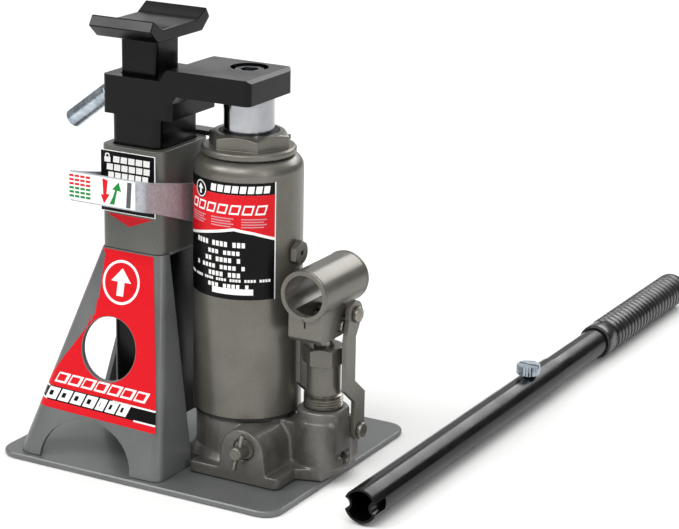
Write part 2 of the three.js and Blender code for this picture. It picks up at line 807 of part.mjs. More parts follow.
function valveBoss() {
  const low = FLOOR + FLANGE_TALL - 1;
  const outline = [
    [VALVE_X + BOSS_HALF, low],
    ...arc(VALVE_X - 1, VALVE_Z - 2.4, BOSS_HALF, 0, 180, 14),
    [VALVE_X - 2 - BOSS_HALF, low],
  ];
  return prism("y", outline, BOSS_FRONT, RAM_Y);
}

function castBody() {
  const low = FLOOR + FLANGE_TALL - 1;
  const top = TANK_BOTTOM - GAP;
  const tub = turned("z", [
    [0, low],
    [BODY_R + 3, low],
    [BODY_R, low + 5],
    [BODY_R, top - 2],
    [TANK_R - TANK_WALL - GAP, top - 2],
    [TANK_R - TANK_WALL - GAP, top + SPIGOT_TALL],
    [0, top + SPIGOT_TALL],
  ]).translate([RAM_X, RAM_Y, 0]);
  const housing = turned("z", [
    [0, low],
    [HOUSING_R + 1, low],
    [HOUSING_R + 1, HOUSING_TOP - 6],
    [HOUSING_R, HOUSING_TOP - 5],
    [HOUSING_R, HOUSING_TOP - 1],
    [HOUSING_R - 1, HOUSING_TOP],
    [0, HOUSING_TOP],
  ]).translate([PUMP_X, PUMP_Y, 0]);
  const half = LINK_INSIDE - 0.1;
  const slim = cut(housing, box(50, PUMP_X - half, -40, 30, 0, 50), box(PUMP_X + half, 99, -40, 30, 14, 50));
  const web = box(RAM_X, PUMP_X - 4, PUMP_Y - 9, PUMP_Y + 6, low, 29);
  const pad = box(PUMP_X - 4, 80.5, -18, 7, low, 14);
  const lug = box(0.5 - LINK_INSIDE, LINK_INSIDE - 0.5, PUMP_Y, LINK_FOOT_Y + 5.4, low, LINK_FOOT_Z + 5.4);
  return union(tub, slim, web, pad, lug.translate([PUMP_X, 0, 0]));
}

function castBores() {
  const seat = rod("z", CYLINDER_R + CYLINDER_WALL + GAP, SEAT_Z, 60, 32).translate([RAM_X, RAM_Y, 0]);
  const well = rod("z", 3, 10.5, SEAT_Z + 1, 20).translate([RAM_X, RAM_Y, 0]);
  const pumpBore = rod("z", BARREL_R + GAP, SEAT_Z, 60, 32).translate([PUMP_X, PUMP_Y, 0]);
  const pumpWell = rod("z", 2.5, 10.5, SEAT_Z + 1, 20).translate([PUMP_X, PUMP_Y, 0]);
  const gallery = rod("x", 2, RAM_X, 90, 16).translate([0, PUMP_Y, 12.6]);
  const plugSeat = rod("x", 3, 76, 90, 20).translate([0, PUMP_Y, 12.6]);
  const valveBore = union(rod("y", VALVE_R + GAP, -50, -26, 24), rod("y", 2.7, -30, -21, 16));
  const linkBore = rod("x", PUMP_PIN_R + SEAL_GAP, 50, 95, 24).translate([0, LINK_FOOT_Y, LINK_FOOT_Z]);
  const screw = rod("z", SCREW_R + GAP, 0, FLOOR + FLANGE_TALL - 0.6, 16);
  const screws = SCREWS.map(([x, y]) => screw.translate([x, y, 0]));
  const valve = valveBore.translate([VALVE_X, 0, VALVE_Z]);
  return [seat, well, pumpBore, pumpWell, gallery, plugSeat, valve, linkBore, ...screws];
}

function jackBase() {
  const flange = prism("z", flangeOutline(), FLOOR, FLOOR + FLANGE_TALL);
  return cut(union(flange, castBody(), valveBoss()), ...castBores());
}

function galleryPlug() {
  const plug = rod("x", 2.7, 76.3, 80.2, 20);
  return cut(plug, prism("x", hexagon(0, 0, 2.5), 78.4, 82)).translate([0, PUMP_Y, 12.6]);
}

function releaseValve() {
  const nose = -28;
  const head = BOSS_FRONT - 8;
  const screw = turned("y", [
    [0, nose],
    [2, nose],
    [VALVE_R, nose - 3],
    [VALVE_R, BOSS_FRONT + 0.5],
    [3.3, BOSS_FRONT + 0.5],
    [3.3, head + 0.6],
    [2.7, head],
    [0, head],
  ]);
  return cut(screw, crossPinBore(1.2 + SEAL_GAP, 8)).translate([VALVE_X, 0, VALVE_Z]);
}

// The cross pin stands in the valve's head, a little off upright.
function crossPinBore(radius, reach) {
  return rod("z", radius, -reach, reach, 16).rotate([0, 15, 0]).translate([0, BOSS_FRONT - 4.5, 0]);
}

function releaseCrossPin() {
  return crossPinBore(1.2, 9.5).translate([VALVE_X, 0, VALVE_Z]);
}

// ---- Pump ----

function atPump(made) {
  return made.translate([PUMP_X, PUMP_Y, 0]);
}

function pumpBarrel() {
  const outside = turned("z", [
    [0, SEAT_Z + GAP],
    [BARREL_R, SEAT_Z + GAP],
    [BARREL_R, HOUSING_TOP + GAP],
    [BARREL_R + 0.6, HOUSING_TOP + GAP],
    [BARREL_R + 0.6, HOUSING_TOP + 5.5],
    [BARREL_R - 0.2, HOUSING_TOP + 6],
    [BARREL_R - 0.2, BARREL_SHOULDER + 1],
    [0, BARREL_SHOULDER + 1],
  ]);
  const nut = common(
    prism("z", hexagon(0, 0, BARREL_HEX, 20), BARREL_SHOULDER, BARREL_TOP),
    turned("z", [
      [0, BARREL_SHOULDER],
      [10.6, BARREL_SHOULDER],
      [10.6, BARREL_TOP - 1.4],
      [8.8, BARREL_TOP],
      [0, BARREL_TOP],
    ]),
  );
  const bore = rod("z", PLUNGER_R + SEAL_GAP, SEAT_Z, BARREL_TOP + 1);
  const groove = ring("z", PLUNGER_R - 1, PLUNGER_R + 1.6, BARREL_TOP - 5, BARREL_TOP - 2);
  return atPump(cut(union(outside, nut), bore, groove));
}

function plungerSeal() {
  return atPump(ring("z", PLUNGER_R + SEAL_GAP, PLUNGER_R + 1.4, BARREL_TOP - 4.7, BARREL_TOP - 2.3, 32));
}

function pumpPlunger() {
  const body = rod("z", PLUNGER_R, SEAT_Z + 3.2, PUMP_PIN_Z - 4);
  const eyeHalf = CHEEK_INSIDE - 0.6;
  const eye = prism(
    "x",
    [
      [-4.6, PUMP_PIN_Z - 6.5],
      [4.6, PUMP_PIN_Z - 6.5],
      ...arc(0, PUMP_PIN_Z, 4.6, 0, 180, 14),
    ],
    -eyeHalf,
    eyeHalf,
  );
  const hole = rod("x", PUMP_PIN_R + PUMP_PIN_SLACK, -9, 9, 24).translate([0, 0, PUMP_PIN_Z]);
  return atPump(cut(union(body, eye), hole));
}

// One pin through the yoke, with a head on the right and a smaller peened head on the left.
function headedPin(half, headR, headTall, y, z) {
  const pin = rod("x", PUMP_PIN_R, -half - 0.5, half + 0.5, 24);
  const right = turned("x", [
    [0, half],
    [headR, half],
    [headR, half + headTall - 0.5],
    [headR - 0.5, half + headTall],
    [0, half + headTall],
  ]);
  const left = rod("x", headR - 0.6, -half - 0.9, -half, 24);
  return union(pin, right, left).translate([PUMP_X, y, z]);
}

function pinBore(y, z, slack) {
  return rod("x", PUMP_PIN_R + slack, 40, 99, 24).translate([0, y, z]);
}

// A rolled sheet tube for the handle, whose edges run down as two cheeks joined at the front.
function handleSocket() {
  const front = SOCKET_FRONT + 1.5;
  const cheekOutline = [
    [front, CHEEK_BOTTOM + 2],
    [front + 2, CHEEK_BOTTOM],
    ...arc(LINK_PIN_Y + 2, CHEEK_BOTTOM + 6, 6, -90, -10, 6),
    [LINK_PIN_Y + 8, SOCKET_Z],
    [front, SOCKET_Z],
  ];
  const outer = CHEEK_INSIDE + CHEEK_THICK;
  const yoke = prism("x", cheekOutline, -outer, outer);
  const inner = front + CHEEK_THICK;
  const hollow = box(-CHEEK_INSIDE, CHEEK_INSIDE, inner, 40, 50, SOCKET_Z);
  const tube = rod("y", SOCKET_R, SOCKET_FRONT, SOCKET_REAR, 48).translate([0, 0, SOCKET_Z]);
  const bore = rod("y", SOCKET_BORE, SOCKET_FRONT - 1, SOCKET_REAR + 1, 40).translate([0, 0, SOCKET_Z]);
  const seam = box(-0.5, 0.5, SOCKET_FRONT - 1, inner + 1, CHEEK_BOTTOM + 7, SOCKET_Z);
  const made = cut(union(yoke, tube), hollow, bore, seam).translate([PUMP_X, 0, 0]);
  return cut(made, pinBore(PUMP_Y, PUMP_PIN_Z, SEAL_GAP), pinBore(LINK_PIN_Y, LINK_PIN_Z, SEAL_GAP));
}

// A link plate: round at the top pin, then a strip that steps back to the foot pin.
function link(x0) {
  const half = LINK_WIDE / 2;
  const knee = -8;
  const outline = [
    ...arc(LINK_FOOT_Y, LINK_FOOT_Z, half, 180, 360, 10),
    [LINK_FOOT_Y + half, 42],
    [knee + half, 50],
    [knee + half, 72],
    ...arc(LINK_PIN_Y, LINK_PIN_Z, 6.5, -35, 195, 16),
    [knee - half, 72],
    [knee - half, 47],
    [LINK_FOOT_Y - half, 39],
  ];
  return cut(
    prism("x", outline, x0, x0 + LINK_THICK),
    pinBore(LINK_PIN_Y, LINK_PIN_Z, SEAL_GAP),
    pinBore(LINK_FOOT_Y, LINK_FOOT_Z, SEAL_GAP),
  );
}

// ---- Tie bracket ----

// A plate from the back of the guide tube that hooks round the cap nut's ring.
function tieBracket() {
  const low = TANK_TOP + GAP + 0.4;
  const outline = [
    [GUIDE.x0 + 10, GUIDE.y1 + GAP],
    [GUIDE.x1, GUIDE.y1 + GAP],
    ...arc(RAM_X, RAM_Y, CAP_RING_R + 0.8, 150, 80, 10),
    ...arc(RAM_X, RAM_Y, CAP_RING_R + 8, 80, 135, 8),
    [GUIDE.x0 + 10, GUIDE.y1 + 9],
  ];
  const foot = box(GUIDE.x0 + 10, GUIDE.x1 - 6, GUIDE.y1 + GAP, GUIDE.y1 + GAP + 2.4, low - 12, low + 1);
  return union(prism("z", outline, low, low + 2.4), foot);
}

// ---- Handle ----

function atHandle(made) {
  return made.translate([HANDLE_X, 0, HANDLE_Z]);
}

// The open end is pressed in on two sides, to grip the release valve's cross pin.
function handleLowerTube() {
  const tube = ring("y", LOWER_BORE, LOWER_R, LOWER_START, LOWER_END, 40);
  const end = LOWER_START + CRIMP_LONG;
  const shell = rod("y", LOWER_R, LOWER_START, end, 40);
  const sides = [-LOWER_R, LOWER_R];
  const crease = rod("y", 4.1, LOWER_START, end, 24);
  const groove = rod("y", 2.9, LOWER_START - 1, end - 1.5, 24);
  const creases = sides.map((x) => common(shell, crease.translate([x, 0, 0])));
  const grooves = sides.map((x) => groove.translate([x, 0, 0]));
  const screwHole = rod("z", THUMB_SHANK_R + GAP, 0, 20, 20).translate([0, THUMB_Y, 0]);
  return atHandle(cut(union(tube, ...creases), ...grooves, screwHole));
}

function handleUpperTube() {
  const start = LOWER_END - SPIGOT_LONG;
  const shoulder = LOWER_END + GAP;
  const end = GRIP_END - 3;
  return atHandle(
    turned(
      "y",
      [
        [SPIGOT_R - UPPER_WALL, start],
        [SPIGOT_R, start],
        [SPIGOT_R, shoulder],
        [UPPER_R, shoulder],
        [UPPER_R, end],
        [SPIGOT_R - UPPER_WALL, end],
      ],
      40,
    ),
  );
}

function handleGrip() {
  const inner = UPPER_R + 0.2;
  const ribStart = GRIP_START + 12;
  const pitch = (GRIP_END - 9 - ribStart) / GRIP_RIBS;
  const profile = [
    [inner, GRIP_START],
    [GRIP_R - 1.4, GRIP_START],
    [GRIP_R - 0.9, GRIP_START + 1.5],
    [GRIP_R - 0.9, ribStart - 2],
  ];
  for (let i = 0; i < GRIP_RIBS; i += 1) {
    const y = ribStart + i * pitch;
    profile.push([GRIP_R, y], [GRIP_R - 0.9, y + pitch * 0.8]);
  }
  profile.push([GRIP_R, GRIP_END - 8.4], [GRIP_R, GRIP_END - 2.5], [GRIP_R - 2.5, GRIP_END]);
  profile.push([0, GRIP_END], [0, GRIP_END - 2.4], [inner, GRIP_END - 2.4]);
  return atHandle(turned("y", profile, 24));
}

function thumbScrew() {
  const low = LOWER_R + 0.6;
  const teeth = [];
  for (let i = 0; i < 24; i += 1) {
    const a = (i * 15 * Math.PI) / 180;
    const b = ((i * 15 + 7.5) * Math.PI) / 180;
    teeth.push([THUMB_R * Math.cos(a), THUMB_R * Math.sin(a)]);
    teeth.push([(THUMB_R - 0.5) * Math.cos(b), (THUMB_R - 0.5) * Math.sin(b)]);
  }
  const knob = prism("z", teeth, low, low + THUMB_TALL);
  const shank = rod("z", THUMB_SHANK_R, SPIGOT_R + 0.2, low + 0.5, 20);
  const slot = box(-THUMB_R - 1, THUMB_R + 1, -0.7, 0.7, low + THUMB_TALL - 1.5, low + THUMB_TALL + 1);
  return atHandle(cut(union(knob, shank), slot).translate([0, THUMB_Y, 0]));
}

// ---- The part ----

const PAINT = { color: 0x6f7070, metalness: 0.3, roughness: 0.45 };
const TANK_PAINT = { color: 0x7b7871, metalness: 0.3, roughness: 0.4 };
const BLACK = { color: 0x0b0b0c, metalness: 0.2, roughness: 0.2 };
const ZINC = { color: 0xb9bfc4, metalness: 0.9, roughness: 0.35 };
const CHROME = { color: 0xd8dadc, metalness: 1, roughness: 0.12 };
const CAST = { color: 0x5f5c56, metalness: 0.3, roughness: 0.7 };
const STEEL = { color: 0x8d8f90, metalness: 0.9, roughness: 0.4 };
const RUBBER = { color: 0x151515, metalness: 0, roughness: 0.8 };

const part = new THREE.Group();
part.name = "car_jack";

function add(name, made, look) {
  const out = made.getMesh();
  const geometry = new THREE.BufferGeometry();
  geometry.setAttribute("position", new THREE.BufferAttribute(new Float32Array(out.vertProperties), 3));
  geometry.setIndex(new THREE.BufferAttribute(new Uint32Array(out.triVerts), 1));
  const creased = toCreasedNormals(geometry, 0.6);
  const mesh = new THREE.Mesh(creased, new THREE.MeshStandardMaterial(look));
  mesh.name = name;
  part.add(mesh);
}

add("base_plate", basePlate(), PAINT);
add("tower_front_panel", towerFrontPanel(), PAINT);
add("tower_rear_panel", towerRearPanel(), PAINT);
add("guide_tube", guideTube(), PAINT);
add("tie_bracket", tieBracket(), PAINT);
SCREWS.forEach(([x, y], i) => add(`base_screw_${i + 1}`, baseScrew(x, y), STEEL));

add("lock_ear_left", lockEar(POST_X - EAR_HALF - EAR_THICK), PAINT);
add("lock_ear_right", lockEar(POST_X + EAR_HALF), PAINT);
add("lock_bail", lockBail(), ZINC);
add("lock_shaft", lockShaft(), ZINC);
add("lock_pawl", lockPawl(), STEEL);
add("shaft_clip_left", shaftClip(LEFT_GROOVE), STEEL);
add("shaft_clip_right", shaftClip(RIGHT_GROOVE), STEEL);

add("outer_post", outerPost(), BLACK);
add("post_end_stop", postEndStop(), BLACK);
add("lift_arm", liftArm(), BLACK);
add("ram_bolt", ramBolt(), BLACK);
add("inner_post", innerPost(), BLACK);
add("post_shoe", postShoe(), BLACK);
add("saddle", saddle(), BLACK);
add("height_pin", heightPin(), ZINC);

add("jack_base", jackBase(), CAST);
add("reservoir_tube", reservoirTube(), TANK_PAINT);
add("reservoir_seal", reservoirSeal(), RUBBER);
add("cylinder_tube", cylinderTube(), STEEL);
add("cap_nut", capNut(), TANK_PAINT);
add("ram", ram(), CHROME);
add("piston_seal", pistonSeal(), RUBBER);
add("ram_wiper", ramWiper(), RUBBER);
add("filler_plug", fillerPlug(), TANK_PAINT);
add("release_valve", releaseValve(), TANK_PAINT);
add("release_cross_pin", releaseCrossPin(), STEEL);
add("release_ball", sphere(2.3, [VALVE_X, -24.6, VALVE_Z]), STEEL);
add("outlet_ball", sphere(2.6, [RAM_X, RAM_Y, 18]), STEEL);
add("inlet_ball", sphere(2.1, [PUMP_X, PUMP_Y, 18]), STEEL);
add("gallery_plug", galleryPlug(), STEEL);

add("pump_barrel", pumpBarrel(), TANK_PAINT);
add("pump_plunger", pumpPlunger(), STEEL);
add("plunger_seal", plungerSeal(), RUBBER);
add("plunger_pin", headedPin(CHEEK_INSIDE + CHEEK_THICK + GAP, 3, 1.8, PUMP_Y, PUMP_PIN_Z), STEEL);
add("handle_socket", handleSocket(), TANK_PAINT);
add("link_left", link(PUMP_X - LINK_INSIDE - LINK_THICK), TANK_PAINT);
add("link_right", link(PUMP_X + LINK_INSIDE), TANK_PAINT);
add("link_top_pin", headedPin(LINK_INSIDE + LINK_THICK + GAP, 3.9, 2, LINK_PIN_Y, LINK_PIN_Z), STEEL);
add("link_bottom_pin", headedPin(LINK_INSIDE + LINK_THICK + GAP, 3.9, 2, LINK_FOOT_Y, LINK_FOOT_Z), STEEL);

add("handle_lower_tube", handleLowerTube(), BLACK);
add("handle_upper_tube", handleUpperTube(), BLACK);
add("handle_grip", handleGrip(), RUBBER);
add("thumb_screw", thumbScrew(), ZINC);

export default part;
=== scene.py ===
import json
import math
import bmesh
import bpy
from mathutils import Matrix, Vector

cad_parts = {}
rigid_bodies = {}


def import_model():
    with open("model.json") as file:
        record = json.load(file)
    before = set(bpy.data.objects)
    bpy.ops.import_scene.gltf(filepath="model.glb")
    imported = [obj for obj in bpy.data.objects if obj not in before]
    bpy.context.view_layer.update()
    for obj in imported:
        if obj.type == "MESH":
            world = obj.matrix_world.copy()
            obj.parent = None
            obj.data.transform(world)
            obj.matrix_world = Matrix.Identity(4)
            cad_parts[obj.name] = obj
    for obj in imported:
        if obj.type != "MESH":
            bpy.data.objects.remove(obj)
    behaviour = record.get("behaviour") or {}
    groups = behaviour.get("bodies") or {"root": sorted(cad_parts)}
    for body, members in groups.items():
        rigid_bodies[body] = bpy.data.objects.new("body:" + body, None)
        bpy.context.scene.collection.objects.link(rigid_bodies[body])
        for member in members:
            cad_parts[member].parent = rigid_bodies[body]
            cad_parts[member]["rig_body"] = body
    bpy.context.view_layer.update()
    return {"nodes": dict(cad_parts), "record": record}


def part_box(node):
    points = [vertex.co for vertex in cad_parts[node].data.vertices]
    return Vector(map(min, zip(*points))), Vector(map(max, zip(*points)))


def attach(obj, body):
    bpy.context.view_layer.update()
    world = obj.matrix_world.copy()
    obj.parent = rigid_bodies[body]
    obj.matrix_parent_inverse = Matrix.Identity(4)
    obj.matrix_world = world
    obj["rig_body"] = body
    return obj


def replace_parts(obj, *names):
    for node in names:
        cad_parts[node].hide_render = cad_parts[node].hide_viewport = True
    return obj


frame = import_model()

mm = 0.001
nodes = frame["nodes"]
print("frame loaded:", len(nodes), "nodes")


# colours are picked as sRGB hex and turned to linear here
def toLinear(hexColour):
    channels = [int(hexColour[i:i + 2], 16) / 255 for i in (1, 3, 5)]
    return [c / 12.92 if c <= 0.04045 else ((c + 0.055) / 1.055) ** 2.4 for c in channels] + [1.0]


# adds one node: settings are its properties, inputs are values or sockets to link
def addNode(tree, kind, settings=None, inputs=None):
    made = tree.nodes.new(kind)
    for key, value in (settings or {}).items():
        setattr(made, key, value)
    for key, value in (inputs or {}).items():
        if isinstance(value, bpy.types.NodeSocket):
            tree.links.new(value, made.inputs[key])
        else:
            made.inputs[key].default_value = value
    return made


def startMaterial(name, values):
    made = bpy.data.materials.new(name)
    made.use_nodes = True
    tree = made.node_tree
    tree.nodes.clear()
    shader = addNode(tree, "ShaderNodeBsdfPrincipled", None, values)
    addNode(tree, "ShaderNodeOutputMaterial", None, {"Surface": shader.outputs["BSDF"]})
    place = addNode(tree, "ShaderNodeTexCoord").outputs["Object"]
    return made, tree, shader, place


# noise with grains of about that many millimetres
def grain(tree, place, size, detail=2.0, distortion=0.0):
    return addNode(tree, "ShaderNodeTexNoise", None, {
        "Vector": place, "Scale": 1 / (size * mm), "Detail": detail, "Distortion": distortion,
    }).outputs["Fac"]


def spread(tree, value, low, high, toLow=0.0, toHigh=1.0):
    return addNode(tree, "ShaderNodeMapRange", None, {
        "Value": value, "From Min": low, "From Max": high, "To Min": toLow, "To Max": toHigh,
    }).outputs["Result"]


def mixed(tree, factor, first, second):
    return addNode(tree, "ShaderNodeMix", {"data_type": "RGBA"}, {0: factor, 6: first, 7: second}).outputs[2]


def bumped(tree, height, depth, normal=None):
    inputs = {"Height": height, "Strength": 1.0, "Distance": depth * mm}
    if normal:
        inputs["Normal"] = normal
    return addNode(tree, "ShaderNodeBump", None, inputs).outputs["Normal"]


# where an outside edge is, from how far a rounded normal turns away from the true one
def edgeWear(tree, place, radius, amount):
    rounded = addNode(tree, "ShaderNodeBevel", {"samples": 4}, {"Radius": radius * mm}).outputs["Normal"]
    flat = addNode(tree, "ShaderNodeNewGeometry").outputs["Normal"]
    product = addNode(tree, "ShaderNodeVectorMath", {"operation": "DOT_PRODUCT"}, {0: rounded, 1: flat})
    same = product.outputs["Value"]
    turned = spread(tree, same, 0.97, 0.75)
    patchy = spread(tree, grain(tree, place, 2.5, 4.0), 0.5, 0.68)
    worn = addNode(tree, "ShaderNodeMath", {"operation": "MULTIPLY"}, {0: turned, 1: patchy}).outputs["Value"]
    return addNode(tree, "ShaderNodeMath", {"operation": "MULTIPLY"}, {0: worn, 1: amount}).outputs["Value"]


# paint on metal: clouded colour, orange peel under the light, bare metal where edges are rubbed
def paintMaterial(name, paint):
    made, tree, shader, place = startMaterial(name, {
        "Metallic": paint["metallic"], "IOR": paint["ior"], "Coat Weight": paint["coat"],
        "Coat Roughness": 0.12,
    })
    cloud = spread(tree, grain(tree, place, paint["cloud"], 4.0), 0.35, 0.65)
    base = mixed(tree, cloud, toLinear(paint["dark"]), toLinear(paint["light"]))
    speck = spread(tree, grain(tree, place, paint["speck"], 1.0), 0.55, 0.75, 0.0, paint["speckAmount"])
    base = mixed(tree, speck, base, toLinear(paint["speckColour"]))
    worn = edgeWear(tree, place, paint["edge"], paint["wear"])
    colour = mixed(tree, worn, base, toLinear(paint["bare"]))
    rough = spread(tree, cloud, 0, 1, paint["rough"] - 0.05, paint["rough"] + 0.06)
    peel = bumped(tree, grain(tree, place, paint["peel"], 2.0), paint["peelDepth"])
    tree.links.new(colour, shader.inputs["Base Color"])
    tree.links.new(rough, shader.inputs["Roughness"])
    tree.links.new(peel, shader.inputs["Normal"])
    return made


# bare or plated metal: fine lines along one axis or a crystal mottle, and a little stain
def metalMaterial(name, metal):
    made, tree, shader, place = startMaterial(name, {
        "Metallic": metal["metallic"], "Anisotropic": metal["anisotropic"],
    })
    cloud = spread(tree, grain(tree, place, metal["mottle"], 3.0, 0.6), 0.35, 0.65)
    base = mixed(tree, cloud, toLinear(metal["dark"]), toLinear(metal["light"]))
    stretched = addNode(tree, "ShaderNodeMapping", None, {"Vector": place, "Scale": metal["lines"]})
    lines = grain(tree, stretched.outputs["Vector"], metal["lineWidth"], 2.0)
    low = metal["rough"] - metal["roughRange"]
    high = metal["rough"] + metal["roughRange"]
    rough = spread(tree, lines, 0.3, 0.7, low, high)
    tree.links.new(base, shader.inputs["Base Color"])
    tree.links.new(rough, shader.inputs["Roughness"])
    tree.links.new(bumped(tree, lines, metal["depth"]), shader.inputs["Normal"])
    return made


# rubber or vinyl: near-flat colour with a dull bloom and a fine moulded grain
def rubberMaterial(name, rubber):
    made, tree, shader, place = startMaterial(name, {"Metallic": 0.0, "IOR": 1.52})
    cloud = spread(tree, grain(tree, place, rubber["bloom"], 4.0), 0.35, 0.7)
    base = mixed(tree, cloud, toLinear(rubber["dark"]), toLinear(rubber["light"]))
    rough = spread(tree, cloud, 0, 1, rubber["rough"] - 0.06, rubber["rough"] + 0.06)
    moulded = bumped(tree, grain(tree, place, rubber["grain"], 3.0), rubber["depth"])
    tree.links.new(base, shader.inputs["Base Color"])
    tree.links.new(rough, shader.inputs["Roughness"])
    tree.links.new(moulded, shader.inputs["Normal"])
    return made


# grey enamel sprayed on pressed steel: even and satin, with soft orange peel
pressedPaint = {
    "dark": "#626464", "light": "#6d6f6f", "cloud": 30, "speck": 0.5, "speckAmount": 0.25,
    "speckColour": "#8c8e8e",
    "metallic": 0.3, "coat": 0.15, "ior": 1.45, "rough": 0.4, "edge": 0.5, "wear": 0.5, "bare": "#a5a6a4",
    "peel": 1.6, "peelDepth": 0.02,
}
# the guide tube's copy of the same grey enamel, a shade darker and warmer: painted shade for its upright
# front face, which gets less light than the panel leaning back below it
shadedTubePaint = dict(pressedPaint, dark="#54544f", light="#62625d", metallic=0.35)
# aluminium-flake enamel on the drawn tank: warm grey with a broad soft glow
flakePaint = {
    "dark": "#636159", "light": "#726f68", "cloud": 24, "speck": 0.35, "speckAmount": 0.3,
    "speckColour": "#9a9893",
    "metallic": 0.65, "coat": 0.15, "ior": 1.45, "rough": 0.38, "edge": 0.5, "wear": 0.5, "bare": "#b4b2ac",
    "peel": 1.2, "peelDepth": 0.015,
}
# the same enamel over rough sand-cast iron: pitted and darker
castPaint = {
    "dark": "#5a5854", "light": "#6e6c67", "cloud": 12, "speck": 1.1, "speckAmount": 0.2,
    "speckColour": "#8b8984",
    "metallic": 0.55, "coat": 0.15, "ior": 1.45, "rough": 0.4, "edge": 0.8, "wear": 0.5, "bare": "#b0aea8",
    "peel": 1.6, "peelDepth": 0.14,
}
# stoved black enamel: wet-looking, only its edges grey
blackPaint = {
    "dark": "#040405", "light": "#070708", "cloud": 20, "speck": 0.4, "speckAmount": 0.08,
    "speckColour": "#2a2b2e",
    "metallic": 0.0, "coat": 0.0, "ior": 1.27, "rough": 0.2, "edge": 0.5, "wear": 0.2, "bare": "#7d8084",
    "peel": 1.4, "peelDepth": 0.012,
}
# ground and hard-chromed ram: mirror with faint rings from the grinding wheel
chromePlate = {
    "dark": "#8e9094", "light": "#a6a8ac", "mottle": 14, "lines": (1, 1, 14), "lineWidth": 5, "rough": 0.12,
    "roughRange": 0.04, "depth": 0.02, "anisotropic": 0.3, "metallic": 1.0,
}
# zinc plate on strip and bar: bluish white with a crystal mottle
zincPlate = {
    "dark": "#a2a6ab", "light": "#b8bcc1", "mottle": 1.6, "lines": (1, 1, 1), "lineWidth": 1.0, "rough": 0.46,
    "roughRange": 0.08, "depth": 0.008, "anisotropic": 0.0, "metallic": 0.35,
}
# brighter nickel on turned bar: bluish, with lines drawn along it
barPlate = {
    "dark": "#8d9aa6", "light": "#c3ccd3", "mottle": 6, "lines": (1, 8, 8), "lineWidth": 3, "rough": 0.26,
    "roughRange": 0.08, "depth": 0.01, "anisotropic": 0.0, "metallic": 0.9,
}
# turned mild steel: grey with lathe lines
turnedSteel = {
    "dark": "#77736c", "light": "#a09c94", "mottle": 4, "lines": (6, 1, 1), "lineWidth": 2.4, "rough": 0.36,
    "roughRange": 0.08, "depth": 0.01, "anisotropic": 0.2, "metallic": 1.0,
}
# black-oxide bolt: dark with an oily sheen
oxideSteel = {
    "dark": "#4d5053", "light": "#686b6f", "mottle": 5, "lines": (1, 1, 4), "lineWidth": 2.0, "rough": 0.32,
    "roughRange": 0.06, "depth": 0.006, "anisotropic": 0.0, "metallic": 1.0,
}
# nitrile seals: matt black
nitrile = {
    "dark": "#0c0c0d", "light": "#18181a", "bloom": 6, "grain": 0.5, "depth": 0.01, "rough": 0.6,
}
# moulded rubber grip: black with a dull shine along the ribs
gripRubber = {
    "dark": "#0b0b0c", "light": "#161617", "bloom": 9, "grain": 0.7, "depth": 0.02, "rough": 0.27,
}

finishes = {
    "painted_steel": paintMaterial("sprayed grey enamel", pressedPaint),
    "warm_grey_paint": paintMaterial("aluminium flake enamel", flakePaint),
    "painted_casting": paintMaterial("enamelled cast iron", castPaint),
    "black_enamel": paintMaterial("stoved black enamel", blackPaint),
    "black_oxide": metalMaterial("black oxide steel", oxideSteel),
    "zinc_plated_steel": metalMaterial("zinc plated steel", zincPlate),
    "polished_steel": metalMaterial("hard chromed steel", chromePlate),
    "bare_steel": metalMaterial("turned mild steel", turnedSteel),
    "nitrile": rubberMaterial("nitrile rubber", nitrile),
    "grip_rubber": rubberMaterial("moulded grip rubber", gripRubber),
    # the guide tube gets the darker copy of the grey enamel, its darkness painted shade
    "guide_tube": paintMaterial("grey enamel with painted shade on tube", shadedTubePaint),
    "height_pin": metalMaterial("nickel plated bar", barPlate),
}
finishes["thumb_screw"] = finishes["height_pin"]
slotOf = {row["node"]: row["material_slot"] for row in frame["record"]["subparts"]}
for name, node in nodes.items():
    node.data.materials.clear()
    node.data.materials.append(finishes[slotOf[name]])
print("materials made:", len(finishes))


def bodyOf(name):
    return nodes[name]["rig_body"]


def newPiece(name, mesh, material, body):
    piece = bpy.data.objects.new(name, mesh)
    bpy.context.scene.collection.objects.link(piece)
    mesh.materials.clear()
    mesh.materials.append(material)
    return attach(piece, body)


# the edges a press, a mould or a file leaves: how wide they are rounded, in mm, on each kind of piece
rounding = {
    "painted_steel": 0.35, "warm_grey_paint": 0.4, "black_enamel": 0.8, "black_oxide": 0.3,
    "zinc_plated_steel": 0.35, "polished_steel": 0.3, "bare_steel": 0.25, "painted_casting": 1.0,
}


# a smooth copy of a CAD solid, with its facets merged and its edges rounded
def rounded(name, width, material, angle=32):
    mesh = nodes[name].data.copy()
    shape = bmesh.new()
    shape.from_mesh(mesh)
    bmesh.ops.remove_doubles(shape, verts=shape.verts, dist=0.002 * mm)
    bmesh.ops.dissolve_limit(shape, angle_limit=math.radians(0.4), verts=shape.verts, edges=shape.edges)
    for face in shape.faces:
        face.smooth = True
    shape.to_mesh(mesh)
    shape.free()
    if mesh.attributes.get("custom_normal"):
        mesh.attributes.remove(mesh.attributes["custom_normal"])
    piece = newPiece(name + "_finished", mesh, material, bodyOf(name))
    if width:
        edges = piece.modifiers.new("rounding", "BEVEL")
        edges.width = width * mm
        edges.segments = 2
        edges.limit_method = "ANGLE"
        edges.angle_limit = math.radians(angle)
        edges.use_clamp_overlap = True
        edges.harden_normals = False
    normals = piece.modifiers.new("normals", "WEIGHTED_NORMAL")
    normals.keep_sharp = True
    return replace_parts(piece, name)


# the CAD solid stays as it is inside the jack; the grip and the casting are made further down
hidden = {
    "piston_seal", "reservoir_seal", "cylinder_tube", "plunger_seal", "release_ball", "outlet_ball",
    "inlet_ball", "post_end_stop", "ram_wiper", "handle_grip", "jack_base",
}
finished = {}
for name in sorted(nodes):
    if name not in hidden:
        material = finishes.get(name, finishes[slotOf[name]])
        finished[name] = rounded(name, rounding[slotOf[name]], material)
print("pieces with rounded edges:", len(finished))


